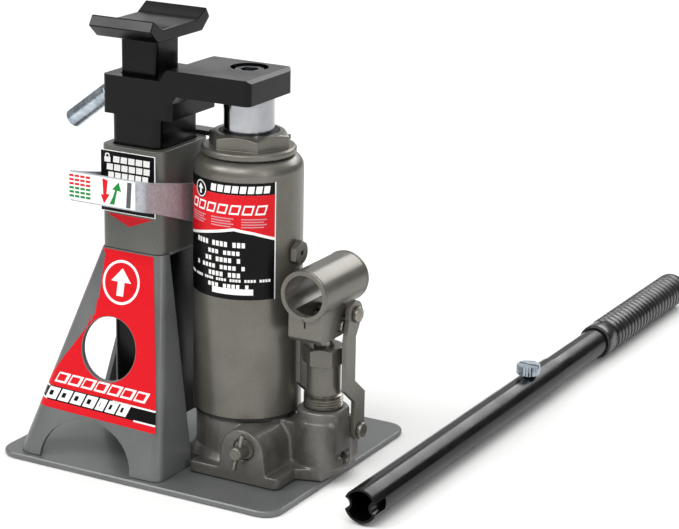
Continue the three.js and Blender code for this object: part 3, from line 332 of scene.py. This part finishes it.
# the casting has the soft corners of its sand mould
casting = {"voxel": 0.75, "smoothing": 3}


def castBase():
    mesh = nodes["jack_base"].data.copy()
    shape = bmesh.new()
    shape.from_mesh(mesh)
    bmesh.ops.remove_doubles(shape, verts=shape.verts, dist=0.002 * mm)
    shape.to_mesh(mesh)
    shape.free()
    slotName = slotOf["jack_base"]
    piece = newPiece("jack_base_casting", mesh, finishes[slotName], bodyOf("jack_base"))
    remesh = piece.modifiers.new("skin", "REMESH")
    remesh.mode = "VOXEL"
    remesh.voxel_size = casting["voxel"] * mm
    remesh.use_smooth_shade = True
    smooth = piece.modifiers.new("mould radius", "SMOOTH")
    smooth.iterations = casting["smoothing"]
    smooth.factor = 0.5
    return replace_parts(piece, "jack_base")


castBase()
print("casting skinned")


# turns a profile of (radius, place) pairs, in mm, about a line through start along axis
def latheMesh(name, profile, start, axis, sides=96):
    shape = bmesh.new()
    along = Vector(axis)
    across = along.orthogonal().normalized()
    third = along.cross(across)
    rings = []
    for radius, place in profile:
        ring = []
        for i in range(sides):
            angle = 2 * math.pi * i / sides
            side = across * math.cos(angle) + third * math.sin(angle)
            ring.append(shape.verts.new((Vector(start) + along * place + side * radius) * mm))
        rings.append(ring)
    for first, second in zip(rings, rings[1:] + rings[:1]):
        for i in range(sides):
            j = (i + 1) % sides
            shape.faces.new((first[i], first[j], second[j], second[i]))
    bmesh.ops.recalc_face_normals(shape, faces=shape.faces)
    for face in shape.faces:
        face.smooth = True
    mesh = bpy.data.meshes.new(name)
    shape.to_mesh(mesh)
    shape.free()
    return mesh


def sharpened(mesh, degrees):
    mesh.set_sharp_from_angle(angle=math.radians(degrees))
    return mesh


# the grip: a plain collar, a run of fine rings and a rounded butt
grip = {"rings": 21, "collar": 12, "butt": 11, "groove": 0.95, "bore": 8.0}


def gripPiece():
    low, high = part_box("handle_grip")
    radius = (high.x - low.x) / 2 / mm
    centre = ((low + high) / 2 / mm)
    length = (high.y - low.y) / mm
    first = grip["collar"]
    last = length - grip["butt"]
    pitch = (last - first) / grip["rings"]
    groove = radius - grip["groove"]
    profile = [(grip["bore"], 0), (radius - 1.2, 0), (radius - 0.5, 0.5)]
    profile += [(radius - 0.3, 1.5), (radius - 0.3, first - 1)]
    for i in range(grip["rings"]):
        y = first + i * pitch
        profile += [
            (groove, y), (groove, y + 0.25 * pitch), (radius - 0.1, y + 0.36 * pitch),
            (radius, y + 0.6 * pitch), (radius - 0.1, y + 0.88 * pitch),
        ]
    profile += [(groove, last), (groove, last + 1.2), (radius - 0.1, last + 1.8), (radius, last + 4)]
    for i in range(1, 9):
        angle = math.pi / 2 * i / 8
        profile.append((radius - 5 + 5 * math.cos(angle), length - 5 + 5 * math.sin(angle)))
    profile += [(0.4, length), (0.4, length - 2.4), (grip["bore"], length - 2.4)]
    mesh = latheMesh("grip rings", profile, (centre.x, low.y / mm, centre.z), (0, 1, 0))
    slotName = slotOf["handle_grip"]
    piece = newPiece("grip_rings", sharpened(mesh, 50), finishes[slotName], bodyOf("handle_grip"))
    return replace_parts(piece, "handle_grip")


gripPiece()


# the socket's mouth is rolled over
lip = {"ring": 11.05, "bead": 1.25, "below": 12.1}


def rolledLip():
    low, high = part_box("handle_socket")
    centreX = (low.x + high.x) / 2 / mm
    centreZ = high.z / mm - lip["below"]
    bead = lip["bead"]
    for end, y, turn in (("front", low.y / mm, 1), ("rear", high.y / mm, -1)):
        profile = []
        for i in range(12):
            angle = 2 * math.pi * i / 12
            profile.append((lip["ring"] + bead * math.cos(angle), turn * (bead + bead * math.sin(angle))))
        mesh = latheMesh("lip", profile, (centreX, y, centreZ), (0, 1, 0), 64)
        newPiece("socket_lip_" + end, mesh, finishes["warm_grey_paint"], "socket")


# the pump's screw thread shows above the casting
thread = {"from": 37.6, "turns": 5, "pitch": 1.3, "root": 8.4, "crest": 9.45}


def pumpThread():
    low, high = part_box("pump_barrel")
    centre = (low + high) / 2 / mm
    profile = [(7.9, thread["from"])]
    for i in range(thread["turns"]):
        z = thread["from"] + i * thread["pitch"]
        profile += [(thread["root"], z), (thread["crest"], z + thread["pitch"] / 2)]
    top = thread["from"] + thread["turns"] * thread["pitch"]
    profile += [(thread["root"], top), (7.9, top)]
    mesh = latheMesh("thread", profile, (centre.x, centre.y, 0), (0, 0, 1), 72)
    newPiece("pump_thread", sharpened(mesh, 30), finishes["bare_steel"], "frame")


rolledLip()
pumpThread()
print("turned pieces made")


# a weld: overlapping puddles laid along a line, half sunk in both pieces
def weldBead(name, points, radius, material="painted_steel"):
    shape = bmesh.new()
    rings = []
    step = 0.55
    for start, end in zip(points, points[1:]):
        start, end = Vector(start), Vector(end)
        along = (end - start).normalized()
        across = along.orthogonal().normalized()
        third = along.cross(across)
        count = max(2, int((end - start).length / step))
        for i in range(count + 1):
            ripple = 0.82 + 0.18 * abs(math.sin(math.pi * i * step / 2.2))
            taper = min(1.0, 0.35 + 0.35 * min(i, count - i))
            centre = start.lerp(end, i / count)
            ring = []
            for k in range(8):
                angle = math.pi * 2 * k / 8
                side = across * math.cos(angle) + third * math.sin(angle)
                ring.append(shape.verts.new((centre + side * radius * ripple * taper) * mm))
            rings.append(ring)
    for first, second in zip(rings, rings[1:]):
        for k in range(8):
            j = (k + 1) % 8
            shape.faces.new((first[k], first[j], second[j], second[k]))
    shape.faces.new(rings[0])
    shape.faces.new(rings[-1])
    bmesh.ops.recalc_face_normals(shape, faces=shape.faces)
    for face in shape.faces:
        face.smooth = True
    mesh = bpy.data.meshes.new(name)
    shape.to_mesh(mesh)
    shape.free()
    return newPiece(name, mesh, finishes[material], "frame")


def weldAll():
    tubeLow, tubeHigh = (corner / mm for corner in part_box("guide_tube"))
    rearLow, rearHigh = (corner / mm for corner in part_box("tower_rear_panel"))
    foot = rearLow.z
    top = rearHigh.z
    right, left, rear = tubeHigh.x - 1.2, tubeLow.x + 1.2, tubeHigh.y - 0.6
    front, back = tubeLow.y + 8, tubeHigh.y - 8
    weldBead("weld_tube_right", [(right, front, top), (right, back, top)], 1.5)
    weldBead("weld_tube_left", [(left, front, top), (left, back, top)], 1.5)
    weldBead("weld_tube_rear", [(tubeLow.x + 7, rear, top + 0.2), (tubeHigh.x - 5, rear, top + 0.2)], 1.1)
    inside = rearHigh.y - 2.6
    weldBead("weld_rear_foot_left", [(rearLow.x + 7, inside, foot), (rearLow.x + 11, inside, foot)], 1.6)
    weldBead("weld_rear_foot_right", [(-1.5, inside, foot), (rearHigh.x - 3, inside, foot)], 1.6)
    for side in ("left", "right"):
        low, high = (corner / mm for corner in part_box("lock_ear_" + side))
        outer, inner = (low.x, high.x) if side == "left" else (high.x, low.x)
        for edge, x in (("out", outer), ("in", inner)):
            line = [(x, tubeHigh.y + 0.3, low.z + 1), (x, tubeHigh.y + 0.3, high.z - 1)]
            weldBead(f"weld_ear_{side}_{edge}", line, 0.9)


weldAll()
print("welds laid")


# printed vinyl: solid ink with a fine screen and a soft gloss
def inkMaterial(name, colour, darker, rough=0.32):
    made, tree, shader, place = startMaterial(name, {"Metallic": 0.0, "IOR": 1.22})
    cloud = spread(tree, grain(tree, place, 0.7, 2.0), 0.3, 0.7)
    gloss = spread(tree, grain(tree, place, 12, 2.0), 0.3, 0.7, rough - 0.05, rough + 0.08)
    tree.links.new(mixed(tree, cloud, toLinear(darker), toLinear(colour)), shader.inputs["Base Color"])
    tree.links.new(gloss, shader.inputs["Roughness"])
    tree.links.new(bumped(tree, grain(tree, place, 3.0, 2.0), 0.01), shader.inputs["Normal"])
    return made


inks = {
    "red": inkMaterial("red printed vinyl", "#d31a24", "#c9151f"),
    "black": inkMaterial("black printed vinyl", "#0b0b0c", "#060607"),
    "white": inkMaterial("white printed vinyl", "#f4f4f2", "#ebebe9"),
    "green": inkMaterial("green printed vinyl", "#1c8a3c", "#177a34"),
    "grey": inkMaterial("grey printed vinyl", "#5a5d60", "#4d5053"),
    "pink": inkMaterial("faded red printed vinyl", "#cf8f96", "#b98a92"),
}


# a flat label cut to outlines (holes follow their own loop), bent on to a surface by place(a, b, lift)
def label(name, loops, ink, layer, place, body, step=None):
    shape = bmesh.new()
    for loop in loops:
        corners = [shape.verts.new((a, b, 0)) for a, b in loop]
        for first, second in zip(corners, corners[1:] + corners[:1]):
            shape.edges.new((first, second))
    bmesh.ops.triangle_fill(shape, edges=shape.edges[:], use_beauty=False)
    if step:
        low = min(v.co.x for v in shape.verts)
        high = max(v.co.x for v in shape.verts)
        cut = low + step
        while cut < high:
            everything = shape.verts[:] + shape.edges[:] + shape.faces[:]
            bmesh.ops.bisect_plane(shape, geom=everything, plane_co=(cut, 0, 0), plane_no=(1, 0, 0))
            cut += step
    bottoms = shape.faces[:]
    made = bmesh.ops.duplicate(shape, geom=shape.verts[:] + shape.edges[:] + shape.faces[:])
    lifted = {v for v in made["geom"] if isinstance(v, bmesh.types.BMVert)}
    pairs = {v: made["vert_map"][v] for v in shape.verts if v in made["vert_map"] and v not in lifted}
    rims = [e for e in shape.edges if e.is_boundary and e.verts[0] not in lifted]
    for edge in rims:
        first, second = edge.verts
        shape.faces.new((first, second, pairs[second], pairs[first]))
    for face in bottoms:
        face.normal_flip()
    lowLift = 0.03 + 0.05 * layer
    for vert in shape.verts:
        lift = lowLift + (0.045 if vert in lifted else 0.0)
        vert.co = Vector(place(vert.co.x, vert.co.y, lift)) * mm
    bmesh.ops.recalc_face_normals(shape, faces=shape.faces)
    mesh = bpy.data.meshes.new(name)
    shape.to_mesh(mesh)
    shape.free()
    return newPiece(name, mesh, inks[ink], body)


def circle(x, z, radius, count=48):
    turns = [2 * math.pi * i / count for i in range(count)]
    return [(x + radius * math.cos(turn), z + radius * math.sin(turn)) for turn in turns]


# a leaning four-sided block; fall tips its long edges down to the right
def slanted(x0, x1, z0, z1, slant, fall=0.0):
    corners = [(x0, z0), (x1, z0), (x1 + slant, z1), (x0 + slant, z1)]
    return [(x, z + fall * (x - x0)) for x, z in corners]


# the tower panel leans back, and its left edge is folded round a growing radius
panel = {"top": 107.0, "foot": 3.3, "leanOut": 22.5, "flare": 36.0, "foldTop": 4.5, "foldGrows": 4.0}


def onPanel(x, z, lift):
    low, high = (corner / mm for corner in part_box("guide_tube"))
    rise = (z - panel["foot"]) / (panel["top"] - panel["foot"])
    front = low.y - panel["leanOut"] * (1 - rise)
    left = low.x - panel["flare"] * (1 - rise)
    fold = panel["foldTop"] + panel["foldGrows"] * (1 - rise)
    inward = max(0.0, left + fold - x)
    if inward <= 0:
        return (x, front - lift, z + 0.2 * lift)
    inward = min(inward, fold * 0.995)
    angle = math.asin(inward / fold)
    out = fold + lift
    return (left + fold - out * math.sin(angle), front + fold - out * math.cos(angle), z)


def panelLeft(z, inset=0.35):
    rise = (z - panel["foot"]) / (panel["top"] - panel["foot"])
    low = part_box("guide_tube")[0].x / mm
    return low - panel["flare"] * (1 - rise) + inset


# the big label: red with a lifting emblem, a black band of slanted blocks and a red stripe
towerLabel = {
    "topRight": -3.1, "top": 106.4, "bandTop": 37.9, "bandLow": 31.0, "redLow": 27.4,
    "hole": (-22.3, 60.0, 15.6), "fall": -1.6 / 66,
}


def towerLabels():
    top, band, low, foot = (towerLabel[key] for key in ("top", "bandTop", "bandLow", "redLow"))
    outline = [(panelLeft(top), top), (panelLeft(band), band), (7.8, band - 1.5)]
    outline.append((towerLabel["topRight"], top - 0.1))
    label("tower_label_red", [outline, circle(*towerLabel["hole"])], "red", 0, onPanel, "frame", 1.2)
    black = [(panelLeft(band), band), (panelLeft(low), low), (8.6, low - 1.7), (7.8, band - 1.5)]
    label("tower_label_band", [black], "black", 0, onPanel, "frame", 1.2)
    stripe = [(panelLeft(low), low), (panelLeft(foot), foot), (9.1, foot - 1.8), (8.6, low - 1.7)]
    label("tower_label_stripe", [stripe], "red", 0, onPanel, "frame", 1.2)
    fall = towerLabel["fall"]

    def put(name, loops, ink="white", layer=1, step=None):
        label(name, loops, ink, layer, onPanel, "frame", step)

    highLine = slanted(panelLeft(band) + 0.2, -54.0, band - 0.9, band - 0.1, 0.4, fall)
    lowLine = slanted(panelLeft(low) + 0.6, -54.5, low + 0.1, low + 0.9, 0.2, fall)
    put("tower_line_left", [highLine], step=1.2)
    put("tower_line_right", [slanted(-17.0, 7.7, 36.1, 36.9, 0.3, fall)])
    put("tower_line_low_left", [lowLine], step=1.2)
    put("tower_line_low_right", [slanted(-4.0, 8.4, 29.2, 30.0, 0.2, fall)])
    # slanted blocks in the band
    widths = [6.3, 6.3, 6.3, 6.3, 4.6, 5.6, 5.6]
    x = -55.6
    for i, wide in enumerate(widths):
        drop = fall * (x + 55.6)
        put(f"tower_block_{i + 1}", [slanted(x, x + wide, 31.6 + drop, 37.4 + drop, 2.6, fall)], step=1.5)
        inner = slanted(x + 2.1, x + wide - 2.1, 33.2 + drop, 35.6 + drop, 1.0, fall)
        put(f"tower_block_mark_{i + 1}", [inner], "black", 2, 1.5)
        x += wide + 1.0
    # a row of outlined blocks over the band
    x = -51.0
    for i in range(7):
        drop = fall * (x + 51)
        outer = slanted(x, x + 6.6, 39.9 + drop, 45.0 + drop, 2.6, fall)
        inside = slanted(x + 1.1, x + 5.7, 40.8 + drop, 44.1 + drop, 1.6, fall)
        put(f"tower_outline_{i + 1}", [outer, inside], step=1.5)
        x += 7.6


# a ring round a plain arrow pointing up
def emblem():
    centreX, centreZ, radius = -19.4, 92.0, 10.4
    ring = [circle(centreX, centreZ, radius), circle(centreX, centreZ, radius - 1.2)]
    label("emblem_ring", ring, "white", 1, onPanel, "frame")
    arrow = [(-1.9, -6.4), (1.9, -6.4), (1.9, 0.2), (5.6, 0.2), (0, 6.6), (-5.6, 0.2), (-1.9, 0.2)]
    label("emblem_arrow", [[(centreX + a, centreZ + b) for a, b in arrow]], "white", 1, onPanel, "frame")


towerLabels()
emblem()


# labels on the guide tube: a padlock over bars, and a red pointer below the bail
def guideLabels():
    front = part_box("guide_tube")[0].y / mm

    def onTube(x, z, lift):
        return (x, front - lift, z)

    def put(name, loops, ink, layer):
        label(name, loops, ink, layer, onTube, "frame")

    put("guide_label_border", [slanted(-32.4, -1.9, 125.0, 154.8, 0)], "white", 0)
    put("guide_label_black", [slanted(-32.4, -2.5, 125.4, 154.4, 0)], "black", 1)
    for i, (z, x0, x1) in enumerate(((149.2, -25.5, -4.4), (145.3, -29.2, -4.4), (141.4, -28.4, -5.4))):
        x = x0
        for k in range(6 if i else 5):
            wide = (x1 - x0) / (6 if i else 5)
            put(f"guide_bar_{i + 1}_{k + 1}", [slanted(x, x + wide - 0.7, z, z + 3.0, 0.2)], "white", 2)
            x += wide
    put("guide_lock_body", [slanted(-30.4, -27.0, 149.0, 151.4, 0)], "white", 2)
    shackle = [(-30.0, 151.4), (-30.0, 152.6), (-29.4, 153.3), (-28.0, 153.3), (-27.4, 152.6), (-27.4, 151.4),
               (-28.0, 151.4), (-28.0, 152.4), (-28.3, 152.7), (-29.1, 152.7), (-29.4, 152.4), (-29.4, 151.4)]
    put("guide_lock_shackle", [shackle], "white", 2)
    put("guide_pointer", [[(-29.4, 124.2), (-3.5, 124.2), (-16.7, 118.9)]], "red", 0)


# the bail's own label: white, with a red arrow down and a green arrow up
def bailLabels():
    low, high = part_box("lock_bail")
    front = low.y / mm
    slope = math.tan(math.radians(16))

    def onBail(x, z, lift):
        return (x, front - lift, z)

    def put(name, loops, ink, layer):
        label(name, loops, ink, layer, onBail, "lock")

    middle = 121 + (8 - front) * slope
    put("bail_label", [slanted(-36.6, 0.7, middle - 6.6, middle + 6.6, 0)], "white", 0)
    for i, ink in enumerate(("red", "red", "red", "green", "green", "green")):
        z = middle + 5.6 - i * 1.95
        for k in range(4):
            x = -36.0 + k * 3.1
            put(f"bail_line_{i + 1}_{k + 1}", [slanted(x, x + 2.5, z - 1.1, z, 0)], ink, 1)
    down = [
        (-17.4, 6.0), (-14.4, 5.4), (-15.2, -1.2), (-13.3, -1.0), (-16.6, -5.9), (-18.4, -1.7), (-17.0, -1.6),
        (-17.2, 2.5),
    ]
    up = [
        (-13.6, -5.8), (-10.9, -5.6), (-9.2, 1.2), (-7.0, 1.0), (-8.4, 5.3), (-12.0, 1.5), (-10.4, 1.3),
        (-11.6, -2.0),
    ]
    put("bail_arrow_down", [[(x, middle + z) for x, z in down]], "red", 1)
    put("bail_arrow_up", [[(x, middle + z) for x, z in up]], "green", 1)
    put("bail_bar", [slanted(-4.4, -2.0, middle - 6.2, middle + 6.0, 0.8)], "grey", 1)


guideLabels()
bailLabels()


# the tank's label wraps the drawn tube
def tankLabels():
    low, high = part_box("reservoir_tube")
    centreX, centreY = (low.x + high.x) / 2 / mm, (low.y + high.y) / 2 / mm
    radius = (high.x - low.x) / 2 / mm

    def onTank(angle, z, lift):
        turn = math.radians(angle)
        return (centreX + (radius + lift) * math.cos(turn), centreY + (radius + lift) * math.sin(turn), z)

    def put(name, loops, ink, layer):
        label(name, loops, ink, layer, onTank, "frame", 4.0)

    left, right = -158.0, -31.0
    put("tank_label_black", [[(left, 91.0), (right, 91.0), (right, 147.0), (left, 147.0)]], "black", 0)
    swoosh = [(left, 118.8), (-140, 119.2), (-98, 123.4), (-74, 125.6), (-54, 124.0), (right, 120.8)]
    put("tank_swoosh", [[(a, z - 1.4) for a, z in swoosh] + [(right, 141.3), (left, 141.3)]], "white", 1)
    put("tank_label_red", [swoosh + [(right, 141.3), (left, 141.3)]], "red", 2)
    put("tank_edge", [[(right, 90.8), (right + 1.3, 90.8), (right + 1.3, 147.2), (right, 147.2)]], "white", 0)

    def ring(size):
        return [(-116 + 2.2 * a, b) for a, b in circle(0, 141.8, size, 32)]

    put("tank_emblem_ground", [ring(4.4)], "black", 3)
    put("tank_emblem_ring", [ring(4.0), ring(3.5)], "white", 4)
    arrow = [(-0.7, -2.3), (0.7, -2.3), (0.7, 0.1), (2.0, 0.1), (0, 2.5), (-2.0, 0.1), (-0.7, 0.1)]
    put("tank_emblem_arrow", [[(-116 + 2.2 * a, 141.8 + b) for a, b in arrow]], "white", 4)
    for i in range(8):
        angle = -101 + i * 8.2
        put(f"tank_title_{i + 1}", [slanted(angle, angle + 6.4, 142.2, 145.6, 1.2)], "white", 1)
    for i in range(7):
        angle = -134 + i * 13.6
        outer = slanted(angle, angle + 10.6, 132.0, 136.6, 3.0)
        inner = slanted(angle + 2.0, angle + 9.6, 132.8, 135.8, 1.9)
        put(f"tank_outline_{i + 1}", [outer, inner], "white", 3)
    for column, (a0, count) in enumerate(((-134, 4), (-100, 4), (-66, 4))):
        for i in range(count):
            z = 130.2 - i * 1.25
            line = slanted(a0, a0 + 26 - 3 * (i % 2), z - 0.55, z, 0)
            put(f"tank_note_{column + 1}_{i + 1}", [line], "pink", 3)
    # each row of bars: top, start angle, how many, spacing in degrees, height
    rows = (
        (118.6, -122, 13, 4.7, 2.4), (114.4, -104, 8, 4.7, 2.0), (110.9, -108, 9, 4.7, 2.2),
        (107.2, -122, 13, 4.7, 2.0), (103.9, -108, 9, 4.7, 2.2), (100.9, -140, 34, 3.1, 1.3),
        (98.3, -104, 10, 4.7, 1.9),
    )
    for row, (z, start, count, wide, tall) in enumerate(rows):
        for i in range(count):
            if (i + row) % 5 != 4:
                a = start + i * wide
                put(f"tank_row_{row + 1}_{i + 1}", [slanted(a, a + wide * 0.72, z - tall, z, 0)], "white", 1)
    put("tank_window", [[(-98.6, 93.4), (-53.5, 93.4), (-53.5, 96.3), (-98.6, 96.3)]], "white", 1)


tankLabels()
print("labels printed")


# a white sweep under the jack, big enough to fill the view
studio = {
    "floorSize": 6.0, "floor": "#f6f6f5", "floorShade": "#f3f3f2",
    "horizon": 0.1, "middle": 0.34, "overhead": 0.95, "backdrop": 0.92,
}


def makeFloor():
    mesh = bpy.data.meshes.new("floor")
    half = studio["floorSize"] / 2
    corners = [(-half, -half, 0), (half, -half, 0), (half, half, 0), (-half, half, 0)]
    mesh.from_pydata(corners, [], [(0, 1, 2, 3)])
    floor = bpy.data.objects.new("floor", mesh)
    floor.location.z = -0.0003
    bpy.context.scene.collection.objects.link(floor)
    made, tree, shader, place = startMaterial("matt white paper", {"Roughness": 0.7, "IOR": 1.45})
    cloud = spread(tree, grain(tree, place, 200, 2.0), 0.3, 0.7)
    base = mixed(tree, cloud, toLinear(studio["floorShade"]), toLinear(studio["floor"]))
    tree.links.new(base, shader.inputs["Base Color"])
    mesh.materials.append(made)


def makeLight(name, place, aim, size, power, colour="#ffffff"):
    data = bpy.data.lights.new(name, "AREA")
    data.shape = "RECTANGLE"
    data.size, data.size_y = size
    data.energy = power
    data.color = toLinear(colour)[:3]
    light = bpy.data.objects.new(name, data)
    light.location = place
    light.rotation_euler = (Vector(aim) - Vector(place)).to_track_quat("-Z", "Y").to_euler()
    bpy.context.scene.collection.objects.link(light)
    return light


def makeStudio():
    world = bpy.data.worlds.new("studio")
    bpy.context.scene.world = world
    world.use_nodes = True
    # a soft tent: bright overhead and dim at the horizon, so that gloss black stays black
    tree = world.node_tree
    place = addNode(tree, "ShaderNodeTexCoord").outputs["Generated"]
    height = addNode(tree, "ShaderNodeSeparateXYZ", None, {"Vector": place}).outputs["Z"]
    low = spread(tree, height, 0.0, 0.45, studio["horizon"], studio["middle"])
    high = spread(tree, height, 0.45, 1.0, 0.0, studio["overhead"] - studio["middle"])
    strength = addNode(tree, "ShaderNodeMath", {"operation": "ADD"}, {0: low, 1: high}).outputs["Value"]
    # the backdrop itself is pale where it is looked at
    seen = addNode(tree, "ShaderNodeLightPath").outputs["Is Camera Ray"]
    shown = addNode(tree, "ShaderNodeMix", None, {0: seen, 2: strength, 3: studio["backdrop"]}).outputs[0]
    tree.links.new(shown, tree.nodes["Background"].inputs["Strength"])
    tree.nodes["Background"].inputs["Color"].default_value = (1, 1, 1, 1)
    middle = (0.02, 0, 0.1)
    makeLight("key", (0.2, -1.3, 1.5), middle, (0.9, 0.9), 15)
    makeLight("left key", (-0.92, -1.1, 1.4), middle, (0.7, 0.7), 15)
    makeLight("right strip", (1.5, -0.7, 0.8), middle, (0.25, 1.2), 7)
    makeLight("rear strip", (0.25, 1.45, 0.95), middle, (1.2, 0.5), 11)
    makeLight("low rear", (-0.85, 1.55, 0.62), middle, (1.6, 0.7), 2.0)


# the camera stands to the right of the front, looking a little down
view = {
    "azimuth": 28.81, "elevation": 16.916, "roll": 1.1, "distance": 1.0653596,
    "target": (0.073585, 0, 0.104645), "lens": 120.42,
}


def makeCamera():
    azimuth, elevation, roll = (math.radians(view[key]) for key in ("azimuth", "elevation", "roll"))
    level = math.cos(elevation)
    back = Vector((math.sin(azimuth) * level, -math.cos(azimuth) * level, math.sin(elevation)))
    right = Vector((math.cos(azimuth), math.sin(azimuth), 0))
    up = back.cross(right)
    tiltedRight = right * math.cos(roll) + up * math.sin(roll)
    tiltedUp = up * math.cos(roll) - right * math.sin(roll)
    data = bpy.data.cameras.new("camera")
    data.lens = view["lens"]
    data.sensor_width = 36
    data.clip_start, data.clip_end = 0.05, 50
    camera = bpy.data.objects.new("camera", data)
    turn = Matrix((tiltedRight, tiltedUp, back)).transposed().to_4x4()
    camera.matrix_world = Matrix.Translation(Vector(view["target"]) + back * view["distance"]) @ turn
    bpy.context.scene.collection.objects.link(camera)
    bpy.context.scene.camera = camera


makeFloor()
makeStudio()
makeCamera()
bpy.context.scene.view_settings.view_transform = "Standard"
print("studio and camera set")
